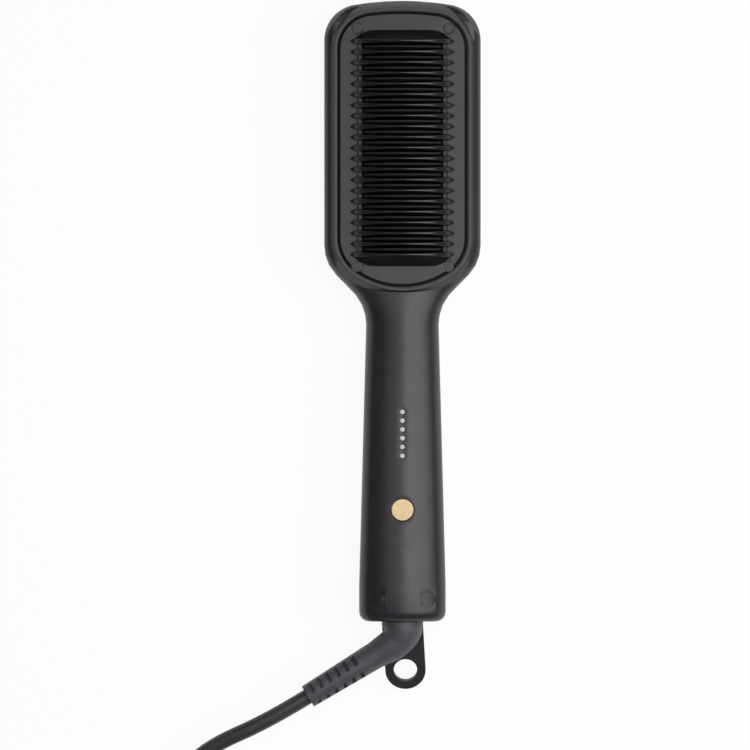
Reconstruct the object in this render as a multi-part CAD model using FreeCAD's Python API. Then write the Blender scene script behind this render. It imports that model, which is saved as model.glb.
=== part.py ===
"""Heated comb brush for straightening hair, with one button and a swivelling mains lead.

The brush lies on its back: its comb faces +Z and its head points along +Y.  The origin is the
middle of the brush on the surface it lies on.  Lengths are in millimetres and angles in degrees.
Each separate piece is written to parts/ as a STEP file of its own.
"""
import FreeCAD, Part

import math
import os

Vector = FreeCAD.Vector
X_AXIS = Vector(1, 0, 0)
Y_AXIS = Vector(0, 1, 0)
Z_AXIS = Vector(0, 0, 1)
FAR = 400.0
OVER = 1.0
EDGE_TOLERANCE = 0.1
RUN_SHARE = 0.45

# Fits between pieces
RUNNING_GAP = 0.05
PLUG_GAP = 0.05
PILOT_GAP = 0.02
SEAT_GAP = 0.1
LOOSE_GAP = 0.3
GROOVE_GAP = 0.4

# Housing in plan
BODY_LENGTH = 257.9
HEAD_WIDTH = 65.0
HEAD_LENGTH = 101.7
HEAD_END_RADIUS = 120.0
HEAD_CORNER_RADIUS = 15.0
SHOULDER_RADIUS = 17.6
SHOULDER_ANGLE = 45.0
NECK_RADIUS = 19.6
NECK_WIDTH = 30.2
GRIP_WIDTH = 36.0
GRIP_FULL_LENGTH = 15.0
END_RADIUS = 4.0

# Housing from the side
HEAD_DEPTH = 26.5
NECK_DEPTH = 27.0
GRIP_DEPTH = 30.5
NECK_LIFT = 1.2
HEAD_END_LENGTH = 9.0
HEAD_END_DROP = 3.5
HEAD_END_RISE = 5.0
WALL = 2.2
END_WALL = 3.0
PARTING_HEIGHT = GRIP_DEPTH / 2

# Rounding of the housing's long edges
GRIP_FRONT_CORNER = 9.0
GRIP_BACK_CORNER = 11.6
CROWN_ANGLE = 33.0
HEAD_FRONT_CORNER = 5.0
HEAD_BACK_CORNER = 11.0
SHOULDER_STEPS = 8
INNER_SHOULDER_STEPS = 4
HEAD_END_STEPS = 4
ROUND_STEPS = 4

# Raised bezel round the comb cover
CREST_HEIGHT = 28.0
CREST_WIDTH = 1.2
BEZEL_WIDTH = 57.0
BEZEL_LENGTH = 117.5
BEZEL_TOP_MARGIN = 3.0
BEZEL_HEAD_CORNER = 16.4
BEZEL_FOOT_RADIUS = 35.6
BEZEL_FOOT_CORNER = 18.6
BEZEL_SLOPE_WIDTH = 3.2
BEZEL_SLOPE_DEPTH = 5.0

# Comb cover
COVER_DEPTH = 0.4
COVER_THICKNESS = 2.0
COVER_CHAMFER = 1.2
BAR_COUNT = 21
BAR_PITCH = 4.424
BAR_LENGTH = 43.6
BAR_HEIGHT = 12.0
BAR_WIDTH = 2.94
BAR_RIDGE = 0.8
BAR_POINT = 4.2
BAR_BOW_SHARE = 0.42
BAR_BOW_WIDTH = 0.72
COMB_TOP_MARGIN = 17.15
WINDOW_WIDTH = 34.0
LIP_WIDTH = 0.5
LIP_HEIGHT = 0.7
LIP_SPACING = 1.3
RAMP_LENGTH = 4.8
RAMP_WIDTH = 31.5
RAMP_TOE = 0.3

# Cover screws, in cups moulded on the cover
COVER_SCREW_SPACING_X = 38.0
COVER_SCREW_TOP_MARGIN = 11.6
COVER_SCREW_SPACING_Y = 98.85
CUP_RADIUS = 3.2
CUP_DEPTH = 7.6
CUP_FLOOR = 1.2
COVER_PLUG_RADIUS = 2.2
PLUG_THICKNESS = 1.5
SCREW_HEAD_HEIGHT = 1.6
SCREW_HEAD_RADIUS = 2.1
SCREW_RADIUS = 1.25
SCREW_LENGTH = 11.0
SCREW_HOLE_RADIUS = 1.5
BOSS_RADIUS = 3.2

# Screws through the grip
GRIP_SCREW_SPACING = 21.2
GRIP_SCREW_END_MARGIN = 9.35
GRIP_PLUG_RADIUS = 3.0
GRIP_CUP_WALL = 1.1
GRIP_CUP_HEIGHT = 20.0
GRIP_PLUG_HEIGHT = 24.5
GRIP_BOSS_RADIUS = 3.5
GRIP_SCREW_HEAD_RADIUS = 2.6

# Heater under the comb
HEATER_WIDTH = 32.8
HEATER_END_ROOM = 1.2
HEATER_THICKNESS = 3.0
FIN_THICKNESS = 0.8
FIN_LENGTH = 32.0
FIN_DROP = 4.5
ELEMENT_WIDTH = 26.0
ELEMENT_THICKNESS = 2.6
ELEMENT_GAP = 8.0
ELEMENT_END_ROOM = 1.0
MICA_THICKNESS = 0.4
CLAMP_THICKNESS = 1.2
CLAMP_WIDTH = 30.0
DIMPLE_RADIUS = 2.4
DIMPLE_DEPTH = 0.4
TRAY_WALL = 1.5
TRAY_FLOOR = 1.5
TRAY_RIM_ROOM = 0.3
TRAY_EAR_LENGTH = 7.0
TRAY_EAR_WIDTH = 9.0
TRAY_EAR_THICKNESS = 2.0
SENSOR_RADIUS = 1.2
SENSOR_LENGTH = 6.0
SENSOR_OFFSET = 7.0
FUSE_RADIUS = 1.25
FUSE_LENGTH = 10.0
LEAD_RADIUS = 0.8
LEAD_SLOT_WIDTH = 4.4
HEATER_LEAD_OFFSET = 6.6
LANDING_MARGIN = 3.4
LANDING_OFFSET = 9.4
LEAD_RISE = 2.4
LEAD_CORNER = 1.0

# Control board in the grip
BOARD_LENGTH = 86.0
BOARD_WIDTH = 21.0
BOARD_THICKNESS = 1.6
BOARD_TOP_HEIGHT = 16.6
BOARD_END_MARGIN = 26.7
BOARD_SCREW_MARGIN = 4.0
BOARD_SCREW_RADIUS = 1.2
BOARD_SCREW_LENGTH = 8.0
BOARD_SCREW_HEAD_RADIUS = 2.0
POST_RADIUS = 2.8

# Components on the control board: width, length and height, and where their middles are
TRIAC_SIZE = (9.0, 13.0, 4.4)
TRIAC_PLACE = (-4.5, 9.5)
MICROCONTROLLER_SIZE = (5.0, 6.0, 1.5)
MICROCONTROLLER_PLACE = (5.0, 8.0)
FILM_CAPACITOR_SIZE = (13.0, 6.0, 8.0)
FILM_CAPACITOR_OFFSET = 14.0
RESERVOIR_RADIUS = 4.0
RESERVOIR_LENGTH = 9.0
RESERVOIR_OFFSET = 6.0
RESERVOIR_END_MARGIN = 6.5

# Button
BUTTON_END_MARGIN = 46.5
BUTTON_RADIUS = 4.67
BUTTON_GAP = 0.4
BUTTON_PROUD = 0.4
BUTTON_TRAVEL = 0.6
BUTTON_WELL_WALL = 1.4
BUTTON_WELL_DEPTH = 3.6
BUTTON_FLANGE = 0.9
BUTTON_FLANGE_THICKNESS = 1.0
BUTTON_BEVEL = 0.3
STEM_RADIUS = 1.5
SWITCH_WIDTH = 6.0
SWITCH_HEIGHT = 3.5
SWITCH_PLUNGER_RADIUS = 1.6
SWITCH_PLUNGER_REACH = 1.0
SWITCH_PLUNGER_SUNK = 1.2

# Row of status lights
LIGHT_COUNT = 6
LIGHT_PITCH = 3.645
LIGHT_RADIUS = 0.93
LIGHT_FIRST_END_MARGIN = 68.9
GUIDE_WIDTH = 3.0
GUIDE_END = 1.8
GUIDE_HEIGHT = 24.7
LED_SIZE = 1.6
LED_HEIGHT = 0.8

# Swivel of the lead
JOURNAL_RADIUS = 8.6
FLANGE_RADIUS = 11.5
FLANGE_THICKNESS = 1.8
BARREL_RADIUS = 5.0
BARREL_LENGTH = 15.8
SPIGOT_RADIUS = 5.5
SPIGOT_LENGTH = 5.0
BULKHEAD_THICKNESS = 1.2
RING_RADIUS = 5.6
RING_WIDTH = 1.6
RING_SPACING = 2.8
RING_END_ROOM = 1.2
CONTACT_THICKNESS = 0.35
CONTACT_WIDTH = 1.5
CONTACT_LENGTH = 23.0
CONTACT_BLOCK_WIDTH = 18.0
CONTACT_BLOCK_LENGTH = 7.2
CONTACT_BORE_RADIUS = 6.2
PASSAGE_RADIUS = 2.6
CONTACT_BLOCK_WALL = 3.0
CRADLE_MARGIN = 1.0

# Strain relief boot
BOOT_RADIUS = 8.65
BOOT_CORNER_REACH = 7.25
BOOT_BEND_RADIUS = 10.0
BOOT_TURN = 58.5
BOOT_BEND_END_RADIUS = 6.7
BOOT_BEND_STEPS = 5
BOOT_WAIST_REACH = 13.0
BOOT_WAIST_RADIUS = 5.7
BOOT_ARM_LENGTH = 46.1
BOOT_END_RADIUS = 4.9
SLOT_COUNT = 6
SLOT_PITCH = 4.2
SLOT_WIDTH = 1.7
SLOT_DEPTH = 2.0
SLOT_REACH = 4.8
SLOT_END_MARGIN = 3.0
SLOT_ROW_ANGLES = (-30, 60, 150, 240)

# Hanging loop
LOOP_REACH = 28.5
LOOP_RADIUS = 8.4
LOOP_HOLE_RADIUS = 4.9
LOOP_THICKNESS = 2.5
LOOP_DROOP = 20.0
LOOP_OFFSET = 1.3

# Mains lead, its coil and its plug
CORD_RADIUS = 3.25
COIL_MEAN_RADIUS = 38.3
COIL_BAND_WIDTH = 30.8
COIL_BAND_HEIGHT = 13.0
COIL_BEVEL = 2.6
TIE_THICKNESS = 0.6
TIE_ARC = 12.0
TIE_ANGLE = 200.0
COIL_CENTRE = Vector(-85.5, -233.5, 0)
TAIL_POINTS = [Vector(-85.5, -283.95, 10.35), Vector(-66.0, -283.95, 10.35),
               Vector(-47.0, -282.6, 6.85), Vector(-27.0, -282.6, 6.85)]
LEAD_REST_POINTS = [Vector(-77.6, -168.6, 10.6), Vector(-94.6, -180.4, 5.2),
                    Vector(-111.8, -190.5, 3.85)]
LEAD_FIRST_RUN = 20.0
PLUG_LENGTH = 34.0
PLUG_WIDTH = 35.3
PLUG_REAR_WIDTH = 12.0
PLUG_HEIGHT = 13.7
PLUG_EDGE_RADIUS = 2.0
PLUG_BEVEL = 1.2
PLUG_FLANK_SHARE = 0.6
PIN_RADIUS = 2.0
PIN_LENGTH = 19.0
PIN_SPACING = 18.6
PIN_SLEEVE_LENGTH = 9.5
PIN_SLEEVE_RADIUS = 1.6
PIN_CORE_RADIUS = 1.2
PIN_CORE_SUNK = 5.0
PIN_BEVEL = 0.8

# Positions that follow from the sizes above
OVERALL_LENGTH = BODY_LENGTH + LOOP_REACH
TOP_Y = OVERALL_LENGTH / 2
END_Y = TOP_Y - BODY_LENGTH
SHOULDER_Y = TOP_Y - HEAD_LENGTH
SWIVEL_HEIGHT = PARTING_HEIGHT
COVER_TOP = CREST_HEIGHT - COVER_DEPTH
COVER_BOTTOM = COVER_TOP - COVER_THICKNESS
COMB_TOP_Y = TOP_Y - COMB_TOP_MARGIN
COMB_SPAN = (BAR_COUNT - 1) * BAR_PITCH
COMB_MIDDLE_Y = COMB_TOP_Y - COMB_SPAN / 2
BUTTON_Y = END_Y + BUTTON_END_MARGIN
INNER_END_Y = END_Y + END_WALL
FRONT_CORNER = 1
HEATER_HALF = COMB_SPAN / 2 - HEATER_END_ROOM
ELEMENT_LENGTH = HEATER_HALF - ELEMENT_END_ROOM - ELEMENT_GAP / 2
ELEMENT_SPACING = ELEMENT_LENGTH + ELEMENT_GAP


# ---------------------------------------------------------------- small helpers

def box(x_low, x_high, y_low, y_high, z_low, z_high):
    """A block between two opposite corners."""
    size = (x_high - x_low, y_high - y_low, z_high - z_low)
    return Part.makeBox(*size, Vector(x_low, y_low, z_low))


def middle_box(width, y_low, y_high, z_low, z_high):
    """A block centred on the plane of symmetry."""
    return box(-width / 2, width / 2, y_low, y_high, z_low, z_high)


def pillar(radius, x, y, z_low, z_high):
    """An upright cylinder."""
    return Part.makeCylinder(radius, z_high - z_low, Vector(x, y, z_low), Z_AXIS)


def shaft(radius, y_low, y_high):
    """A cylinder on the swivel's axis."""
    return Part.makeCylinder(radius, y_high - y_low, Vector(0, y_low, SWIVEL_HEIGHT), Y_AXIS)


def radial(centre, radius, angle):
    """A point on a circle that stands across the length of the brush."""
    turn = math.radians(angle)
    return centre + Vector(math.cos(turn), 0, math.sin(turn)) * radius


def mirrored(point):
    """The same point on the other side of the plane of symmetry."""
    return Vector(-point.x, point.y, point.z)


def fuse_all(first, others):
    """One solid made of all the shapes."""
    return first.multiFuse(others) if others else first


def write(name, shapes):
    """Write one node, from one solid or from a list of separate solids."""
    solids = shapes if isinstance(shapes, list) else [shapes]
    node = solids[0] if len(solids) == 1 else Part.makeCompound(solids)
    node.exportStep(os.path.join("parts", name + ".step"))


def tangent_arcs(points):
    """A path of straight runs whose corners are rounded as far as the runs allow."""
    edges = []
    radii = []
    start = points[0]
    for before, corner, after in zip(points, points[1:], points[2:]):
        back = before - corner
        ahead = after - corner
        half_turn = (math.pi - back.getAngle(ahead)) / 2
        cut = RUN_SHARE * min(back.Length, ahead.Length)
        radii.append(cut / math.tan(half_turn))
        back.normalize()
        ahead.normalize()
        arc_start = corner + back * cut
        arc_end = corner + ahead * cut
        inward = back + ahead
        inward.normalize()
        depth = radii[-1] / math.cos(half_turn) - radii[-1]
        edges.append(Part.LineSegment(start, arc_start).toShape())
        edges.append(Part.Arc(arc_start, corner + inward * depth, arc_end).toShape())
        start = arc_end
    edges.append(Part.LineSegment(start, points[-1]).toShape())
    return Part.Wire(edges), radii


def tube(points, radius, label):
    """A round lead along a rounded path, with its length and bends printed."""
    path, radii = tangent_arcs(points)
    profile = Part.Wire(Part.makeCircle(radius, points[0], points[1] - points[0]))
    solid = path.makePipeShell([profile], True, False)
    ideal = math.pi * radius ** 2 * path.Length
    turns = ", ".join(f"{value:.0f}" for value in radii)
    print(f"{label}: length {path.Length:.1f}, volume ratio {solid.Volume / ideal:.4f}, radii {turns}")
    return solid


# ---------------------------------------------------------------- housing form

def shoulder_points():
    """The Y of each joint between the arcs and the flank of the shoulder, from head to neck."""
    angle = math.radians(SHOULDER_ANGLE)
    across = (HEAD_WIDTH - NECK_WIDTH) / 2
    flank_across = across - (SHOULDER_RADIUS + NECK_RADIUS) * (1 - math.cos(angle))
    flank_top = SHOULDER_Y - SHOULDER_RADIUS * math.sin(angle)
    flank_foot = flank_top - flank_across / math.tan(angle)
    neck = flank_foot - NECK_RADIUS * math.sin(angle)
    return flank_top, flank_foot, neck


FLANK_TOP_Y, FLANK_FOOT_Y, NECK_Y = shoulder_points()


def half_width(y):
    """Half of the housing's width at a place along it."""
    if y >= SHOULDER_Y:
        return HEAD_WIDTH / 2
    if y >= FLANK_TOP_Y:
        run = SHOULDER_Y - y
        return HEAD_WIDTH / 2 - SHOULDER_RADIUS + math.sqrt(SHOULDER_RADIUS ** 2 - run ** 2)
    if y >= FLANK_FOOT_Y:
        angle = math.radians(SHOULDER_ANGLE)
        top = HEAD_WIDTH / 2 - SHOULDER_RADIUS * (1 - math.cos(angle))
        return top - (FLANK_TOP_Y - y) * math.tan(angle)
    if y >= NECK_Y:
        run = y - NECK_Y
        return NECK_WIDTH / 2 + NECK_RADIUS - math.sqrt(NECK_RADIUS ** 2 - run ** 2)
    share = min(1.0, (NECK_Y - y) / (NECK_Y - END_Y - GRIP_FULL_LENGTH))
    return (NECK_WIDTH + (GRIP_WIDTH - NECK_WIDTH) * share) / 2


def ease(value, low, high):
    """A smooth step from 0 at low to 1 at high."""
    share = min(1.0, max(0.0, (value - low) / (high - low)))
    return share * share * (3 - 2 * share)


def head_end_share(y):
    """How far a place lies into the rounded end of the head."""
    return max(0.0, (y - TOP_Y + HEAD_END_LENGTH) / HEAD_END_LENGTH)


def front_height(y):
    """Height of the housing's front on the plane of symmetry."""
    grip_share = min(1.0, max(0.0, (NECK_Y - y) / (NECK_Y - END_Y - GRIP_FULL_LENGTH)))
    grip = NECK_DEPTH + (GRIP_DEPTH - NECK_DEPTH) * grip_share
    head = HEAD_DEPTH - HEAD_END_DROP * head_end_share(y) ** 2
    return grip + (head - grip) * ease(y, NECK_Y, SHOULDER_Y)


def back_height(y):
    """Height of the housing's back on the plane of symmetry."""
    lift = NECK_LIFT * ease(y, END_Y + GRIP_FULL_LENGTH, NECK_Y) * (1 - ease(y, NECK_Y, SHOULDER_Y))
    return lift + HEAD_END_RISE * head_end_share(y) ** 2


def crown_angle(y):
    """How far the domed front of the grip leans at its corners; the head's front is flat."""
    return math.radians(CROWN_ANGLE) * (1 - ease(y, NECK_Y, SHOULDER_Y))


def corner_radii(y, inset):
    """Radii of the front and back corners of the housing's section."""
    share = ease(y, NECK_Y, SHOULDER_Y)
    front = GRIP_FRONT_CORNER + (HEAD_FRONT_CORNER - GRIP_FRONT_CORNER) * share
    back = GRIP_BACK_CORNER + (HEAD_BACK_CORNER - GRIP_BACK_CORNER) * share
    return front - inset, back - inset


def crown_place(y, inset, share):
    """A point of the domed front, from its middle at share 0 to its +X corner at share 1."""
    front, _ = corner_radii(y, inset)
    flat = half_width(y) - inset - front
    high = front_height(y) - inset
    lean = crown_angle(y)
    if not lean:
        return Vector(flat * share, y, high)
    radius = front + flat / math.sin(lean)
    angle = lean * share
    return Vector(radius * math.sin(angle), y, high - radius * (1 - math.cos(angle)))


def section_corners(y, inset):
    """Start, middle and end of each rounded corner of the housing's section, drawn in by a wall."""
    front, back = corner_radii(y, inset)
    across = half_width(y) - inset - back
    low = Vector(across, y, back_height(y) + inset + back)
    lean = crown_angle(y)
    high = crown_place(y, inset, 1) - Vector(math.sin(lean), 0, math.cos(lean)) * front
    turn = 90 - math.degrees(lean)
    corners = [(low, back, -90, 0), (high, front, 0, turn)]
    corners += [(mirrored(high), front, 180 - turn, 180), (mirrored(low), back, 180, 270)]
    return [[radial(centre, radius, angle) for angle in (start, (start + end) / 2, end)]
            for centre, radius, start, end in corners]


def corner_edges(ends, faceted):
    """One corner of a section: round outside, two flats inside the wall."""
    if faceted:
        return [Part.LineSegment(a, b).toShape() for a, b in zip(ends, ends[1:])]
    return [Part.Arc(*ends).toShape()]


def crown_edges(y, inset, faceted):
    """The section's domed front from +X to -X: round outside, three flats inside the wall."""
    half = [crown_place(y, inset, share) for share in (1, 0.5)]
    if faceted:
        points = half + [mirrored(point) for point in reversed(half)]
        return [Part.LineSegment(a, b).toShape() for a, b in zip(points, points[1:])]
    if crown_angle(y):
        return [Part.Arc(half[0], crown_place(y, inset, 0), mirrored(half[0])).toShape()]
    return [Part.LineSegment(half[0], mirrored(half[0])).toShape()]


def section(y, inset, faceted):
    """The housing's closed section at one place, or the same drawn in by a wall."""
    arcs = section_corners(y, inset)
    edges = []
    for index, ends in enumerate(arcs):
        edges += corner_edges(ends, faceted)
        following = arcs[(index + 1) % len(arcs)]
        if index == FRONT_CORNER:
            edges += crown_edges(y, inset, faceted)
        else:
            edges.append(Part.LineSegment(ends[2], following[0]).toShape())
    return Part.Wire(edges)


def taper(low, high, inset, faceted):
    """One stretch of the housing's form whose corners keep their radius."""
    near = section_corners(low, inset)
    far = section_corners(high, inset)
    faces = [Part.Face(section(y, inset, faceted)) for y in (low, high)]
    for index, ends in enumerate(near):
        following = (index + 1) % len(near)
        faces += [edge.extrude(far[index][0] - ends[0]) for edge in corner_edges(ends, faceted)]
        if index == FRONT_CORNER:
            pairs = zip(crown_edges(low, inset, faceted), crown_edges(high, inset, faceted))
            faces += [Part.makeRuledSurface(a, b) for a, b in pairs]
        else:
            rim = [ends[2], near[following][0], far[following][0], far[index][2], ends[2]]
            faces.append(Part.Face(Part.makePolygon(rim)))
    shell = Part.makeShell(faces)
    shell.sewShape()
    return Part.makeSolid(shell)


def loft(low, high, count, inset, faceted):
    """One stretch of the housing's form through evenly spaced sections."""
    places = [low + (high - low) * index / count for index in range(count + 1)]
    return Part.makeLoft([section(y, inset, faceted) for y in places], True, True)


def plain(low, high, inset, faceted):
    """One stretch of the housing's form whose section doesn't change."""
    return Part.Face(section(low, inset, faceted)).extrude(Y_AXIS * (high - low))


def housing_loft(inset, first_y, shoulder_steps):
    """The housing's form from one place in the grip to beyond the head, faceted inside the wall."""
    faceted = inset > 0
    taper_y = END_Y + GRIP_FULL_LENGTH
    round_y = TOP_Y - HEAD_END_LENGTH
    stretches = [taper(taper_y, NECK_Y, inset, faceted)]
    stretches.append(loft(NECK_Y, SHOULDER_Y, shoulder_steps, inset, faceted))
    stretches.append(plain(SHOULDER_Y, round_y, inset, faceted))
    stretches.append(loft(round_y, TOP_Y + HEAD_END_LENGTH / 2, HEAD_END_STEPS, inset, faceted))
    return fuse_all(plain(first_y, taper_y, inset, faceted), stretches)


def grip_end():
    """The grip's last stretch, rounded towards its flat end."""
    sections = []
    for step in range(ROUND_STEPS + 1):
        angle = math.pi / 2 * step / ROUND_STEPS
        y = END_Y + END_RADIUS * (1 - math.sin(angle))
        sections.append(section(y, END_RADIUS * (1 - math.cos(angle)), False))
    return Part.makeLoft(sections, True, True)


def head_end_points(width, top, end_radius, corner_radius):
    """Where a wide end arc meets its corner arc, and the corner's centre, on the +X side."""
    centre_x = width / 2 - corner_radius
    arc_centre_y = top - end_radius
    rise = math.sqrt((end_radius - corner_radius) ** 2 - centre_x ** 2)
    corner = Vector(centre_x, arc_centre_y + rise, 0)
    along = Vector(centre_x, rise, 0)
    along.normalize()
    return corner + along * corner_radius, corner


def corner_arc(centre, radius, start, end):
    """The short arc of a circle from one point on it to another."""
    middle = (start + end) / 2 - centre
    middle.normalize()
    return Part.Arc(start, centre + middle * radius, end).toShape()


def round_end(width, top, end_radius, corner_radius):
    """Edges of a round end from its -X side to its +X side, and the height of those sides."""
    join, corner = head_end_points(width, top, end_radius, corner_radius)
    side = Vector(width / 2, corner.y, 0)
    edges = [corner_arc(mirrored(corner), corner_radius, mirrored(side), mirrored(join))]
    edges.append(Part.Arc(mirrored(join), Vector(0, top, 0), join).toShape())
    edges.append(corner_arc(corner, corner_radius, join, side))
    return edges, corner.y


def head_prism(inset):
    """An upright prism that gives the head its rounded end and is open towards the grip."""
    width = HEAD_WIDTH + 2 * WALL
    radii = (HEAD_END_RADIUS - inset, HEAD_CORNER_RADIUS - inset)
    edges, side_y = round_end(HEAD_WIDTH - 2 * inset, TOP_Y - inset, *radii)
    side = HEAD_WIDTH / 2 - inset
    far = END_Y - FAR
    points = [Vector(side, side_y, 0), Vector(side + width, side_y - width, 0)]
    points += [Vector(side + width, far, 0)]
    points += [mirrored(point) for point in reversed(points)]
    edges += [Part.LineSegment(a, b).toShape() for a, b in zip(points, points[1:])]
    face = Part.Face(Part.Wire(edges))
    face.translate(Vector(0, 0, -FAR / 2))
    return face.extrude(Z_AXIS * FAR)


def shield_wire(outset, height):
    """The bezel's outline, wide end up, moved outwards by a distance."""
    width = BEZEL_WIDTH + 2 * outset
    top = TOP_Y - BEZEL_TOP_MARGIN + outset
    foot = TOP_Y - BEZEL_TOP_MARGIN - BEZEL_LENGTH - outset
    head_radii = (HEAD_END_RADIUS - BEZEL_TOP_MARGIN + outset, BEZEL_HEAD_CORNER + outset)
    foot_radii = (BEZEL_FOOT_RADIUS + outset, BEZEL_FOOT_CORNER + outset)
    head_edges, head_y = round_end(width, top, *head_radii)
    foot_edges, foot_y = round_end(width, -foot, *foot_radii)
    for edge in foot_edges:
        edge.rotate(Vector(0, 0, 0), X_AXIS, 180)
    side = width / 2
    right = Part.LineSegment(Vector(side, head_y, 0), Vector(side, -foot_y, 0)).toShape()
    left = Part.LineSegment(Vector(-side, -foot_y, 0), Vector(-side, head_y, 0)).toShape()
    wire = Part.Wire(Part.__sortEdges__(head_edges + [right] + foot_edges + [left]))
    wire.translate(Vector(0, 0, height))
    return wire


def shield(outset, low, high):
    """A prism of the bezel's outline."""
    return Part.Face(shield_wire(outset, low)).extrude(Z_AXIS * (high - low))


def bezel():
    """The raised bezel as a full block with sloping sides."""
    foot = shield_wire(BEZEL_SLOPE_WIDTH, CREST_HEIGHT - BEZEL_SLOPE_DEPTH)
    crest = shield_wire(0, CREST_HEIGHT)
    return Part.makeLoft([foot, crest], True, True)


def outer_form():
    """The closed outer form of both shells together."""
    form = housing_loft(0, END_Y + END_RADIUS, SHOULDER_STEPS).common(head_prism(0))
    return form.fuse(grip_end())


def cavity_form():
    """The room inside both shells together."""
    return housing_loft(WALL, INNER_END_Y, INNER_SHOULDER_STEPS).common(head_prism(WALL))


def cover_screw_places():
    """Centres of the four cover screws."""
    top = TOP_Y - COVER_SCREW_TOP_MARGIN
    side = COVER_SCREW_SPACING_X / 2
    return [(x, y) for y in (top, top - COVER_SCREW_SPACING_Y) for x in (-side, side)]


def grip_screw_places():
    """Centres of the two screws at the grip's end."""
    y = END_Y + GRIP_SCREW_END_MARGIN
    return [(-GRIP_SCREW_SPACING / 2, y), (GRIP_SCREW_SPACING / 2, y)]


def light_places():
    """Y of each status light."""
    first = END_Y + LIGHT_FIRST_END_MARGIN
    return [first + index * LIGHT_PITCH for index in range(LIGHT_COUNT)]


def board_range():
    """The two ends of the control board."""
    low = END_Y + BOARD_END_MARGIN
    return low, low + BOARD_LENGTH


def board_screw_places():
    """Centres of the two board screws."""
    low, high = board_range()
    return [(0, low + BOARD_SCREW_MARGIN), (0, high - BOARD_SCREW_MARGIN)]


# ---------------------------------------------------------------- comb cover and heater

def comb_places():
    """Y of each bar of the comb, from the head's end towards the grip."""
    return [COMB_TOP_Y - index * BAR_PITCH for index in range(BAR_COUNT)]


def arch_radius():
    """Radius of the arch that the bars' ridges follow."""
    return ((BAR_LENGTH / 2) ** 2 + BAR_HEIGHT ** 2) / (2 * BAR_HEIGHT)


def arch_height(x, drop=0.0):
    """Height of the arch over a place across the comb."""
    radius = arch_radius()
    return COVER_TOP + BAR_HEIGHT - radius + math.sqrt(radius ** 2 - x ** 2) - drop


def arch_face(length, drop, low, y):
    """An upright face under the arch, with straight ends and a flat foot."""
    side = length / 2
    shoulder = arch_height(side, drop)
    left = Vector(-side, y, shoulder)
    right = Vector(side, y, shoulder)
    crown = Part.Arc(left, Vector(0, y, arch_height(0, drop)), right).toShape()
    foot = [right, Vector(side, y, low), Vector(-side, y, low), left]
    edges = [crown] + [Part.LineSegment(a, b).toShape() for a, b in zip(foot, foot[1:])]
    return Part.Face(Part.Wire(edges))


def bar_plan():
    """A bar's outline from above: parallel sides that close to a point at each end."""
    tip = BAR_LENGTH / 2
    side = BAR_WIDTH / 2
    quarter = [(tip - BAR_POINT, side), (tip - BAR_POINT * BAR_BOW_SHARE, side * BAR_BOW_WIDTH)]
    half = quarter + [(tip, 0)] + [(x, -y) for x, y in reversed(quarter)]
    outline = half + [(-x, -y) for x, y in half]
    points = [Vector(x, y, 0) for x, y in outline]
    return Part.Face(Part.makePolygon(points + points[:1]))


def comb_bar():
    """One bar of the comb at Y 0: an arch that is thick at its foot and thin at its ridge."""
    width = BAR_WIDTH
    arch = arch_face(BAR_LENGTH - 2 * SEAT_GAP, 0, COVER_BOTTOM, -width)
    arch = arch.extrude(Y_AXIS * 2 * width)
    plan = bar_plan()
    plan.translate(Vector(0, 0, COVER_BOTTOM))
    corners = [(-BAR_WIDTH / 2, COVER_BOTTOM), (BAR_WIDTH / 2, COVER_BOTTOM)]
    corners += [(BAR_RIDGE / 2, COVER_TOP + BAR_HEIGHT), (-BAR_RIDGE / 2, COVER_TOP + BAR_HEIGHT)]
    points = [Vector(-BAR_LENGTH, y, z) for y, z in corners]
    taper = Part.Face(Part.makePolygon(points + points[:1])).extrude(X_AXIS * 2 * BAR_LENGTH)
    return arch.common(plan.extrude(Z_AXIS * 2 * BAR_HEIGHT)).common(taper)


def end_ramp(bar_y, direction):
    """The slope that closes the comb beyond its first or last bar."""
    sections = []
    toe_y = bar_y + direction * RAMP_LENGTH
    for y, side, top in ((bar_y, BAR_LENGTH / 2 - SEAT_GAP, COVER_TOP + BAR_HEIGHT),
                         (toe_y, RAMP_WIDTH / 2, COVER_TOP + RAMP_TOE)):
        foot = COVER_TOP - RAMP_TOE
        left = Vector(-side, y, foot)
        right = Vector(side, y, foot)
        arch = Part.Arc(left, Vector(0, y, top), right).toShape()
        sections.append(Part.Wire([arch, Part.LineSegment(right, left).toShape()]))
    return Part.makeLoft(sections, True, True)


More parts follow.
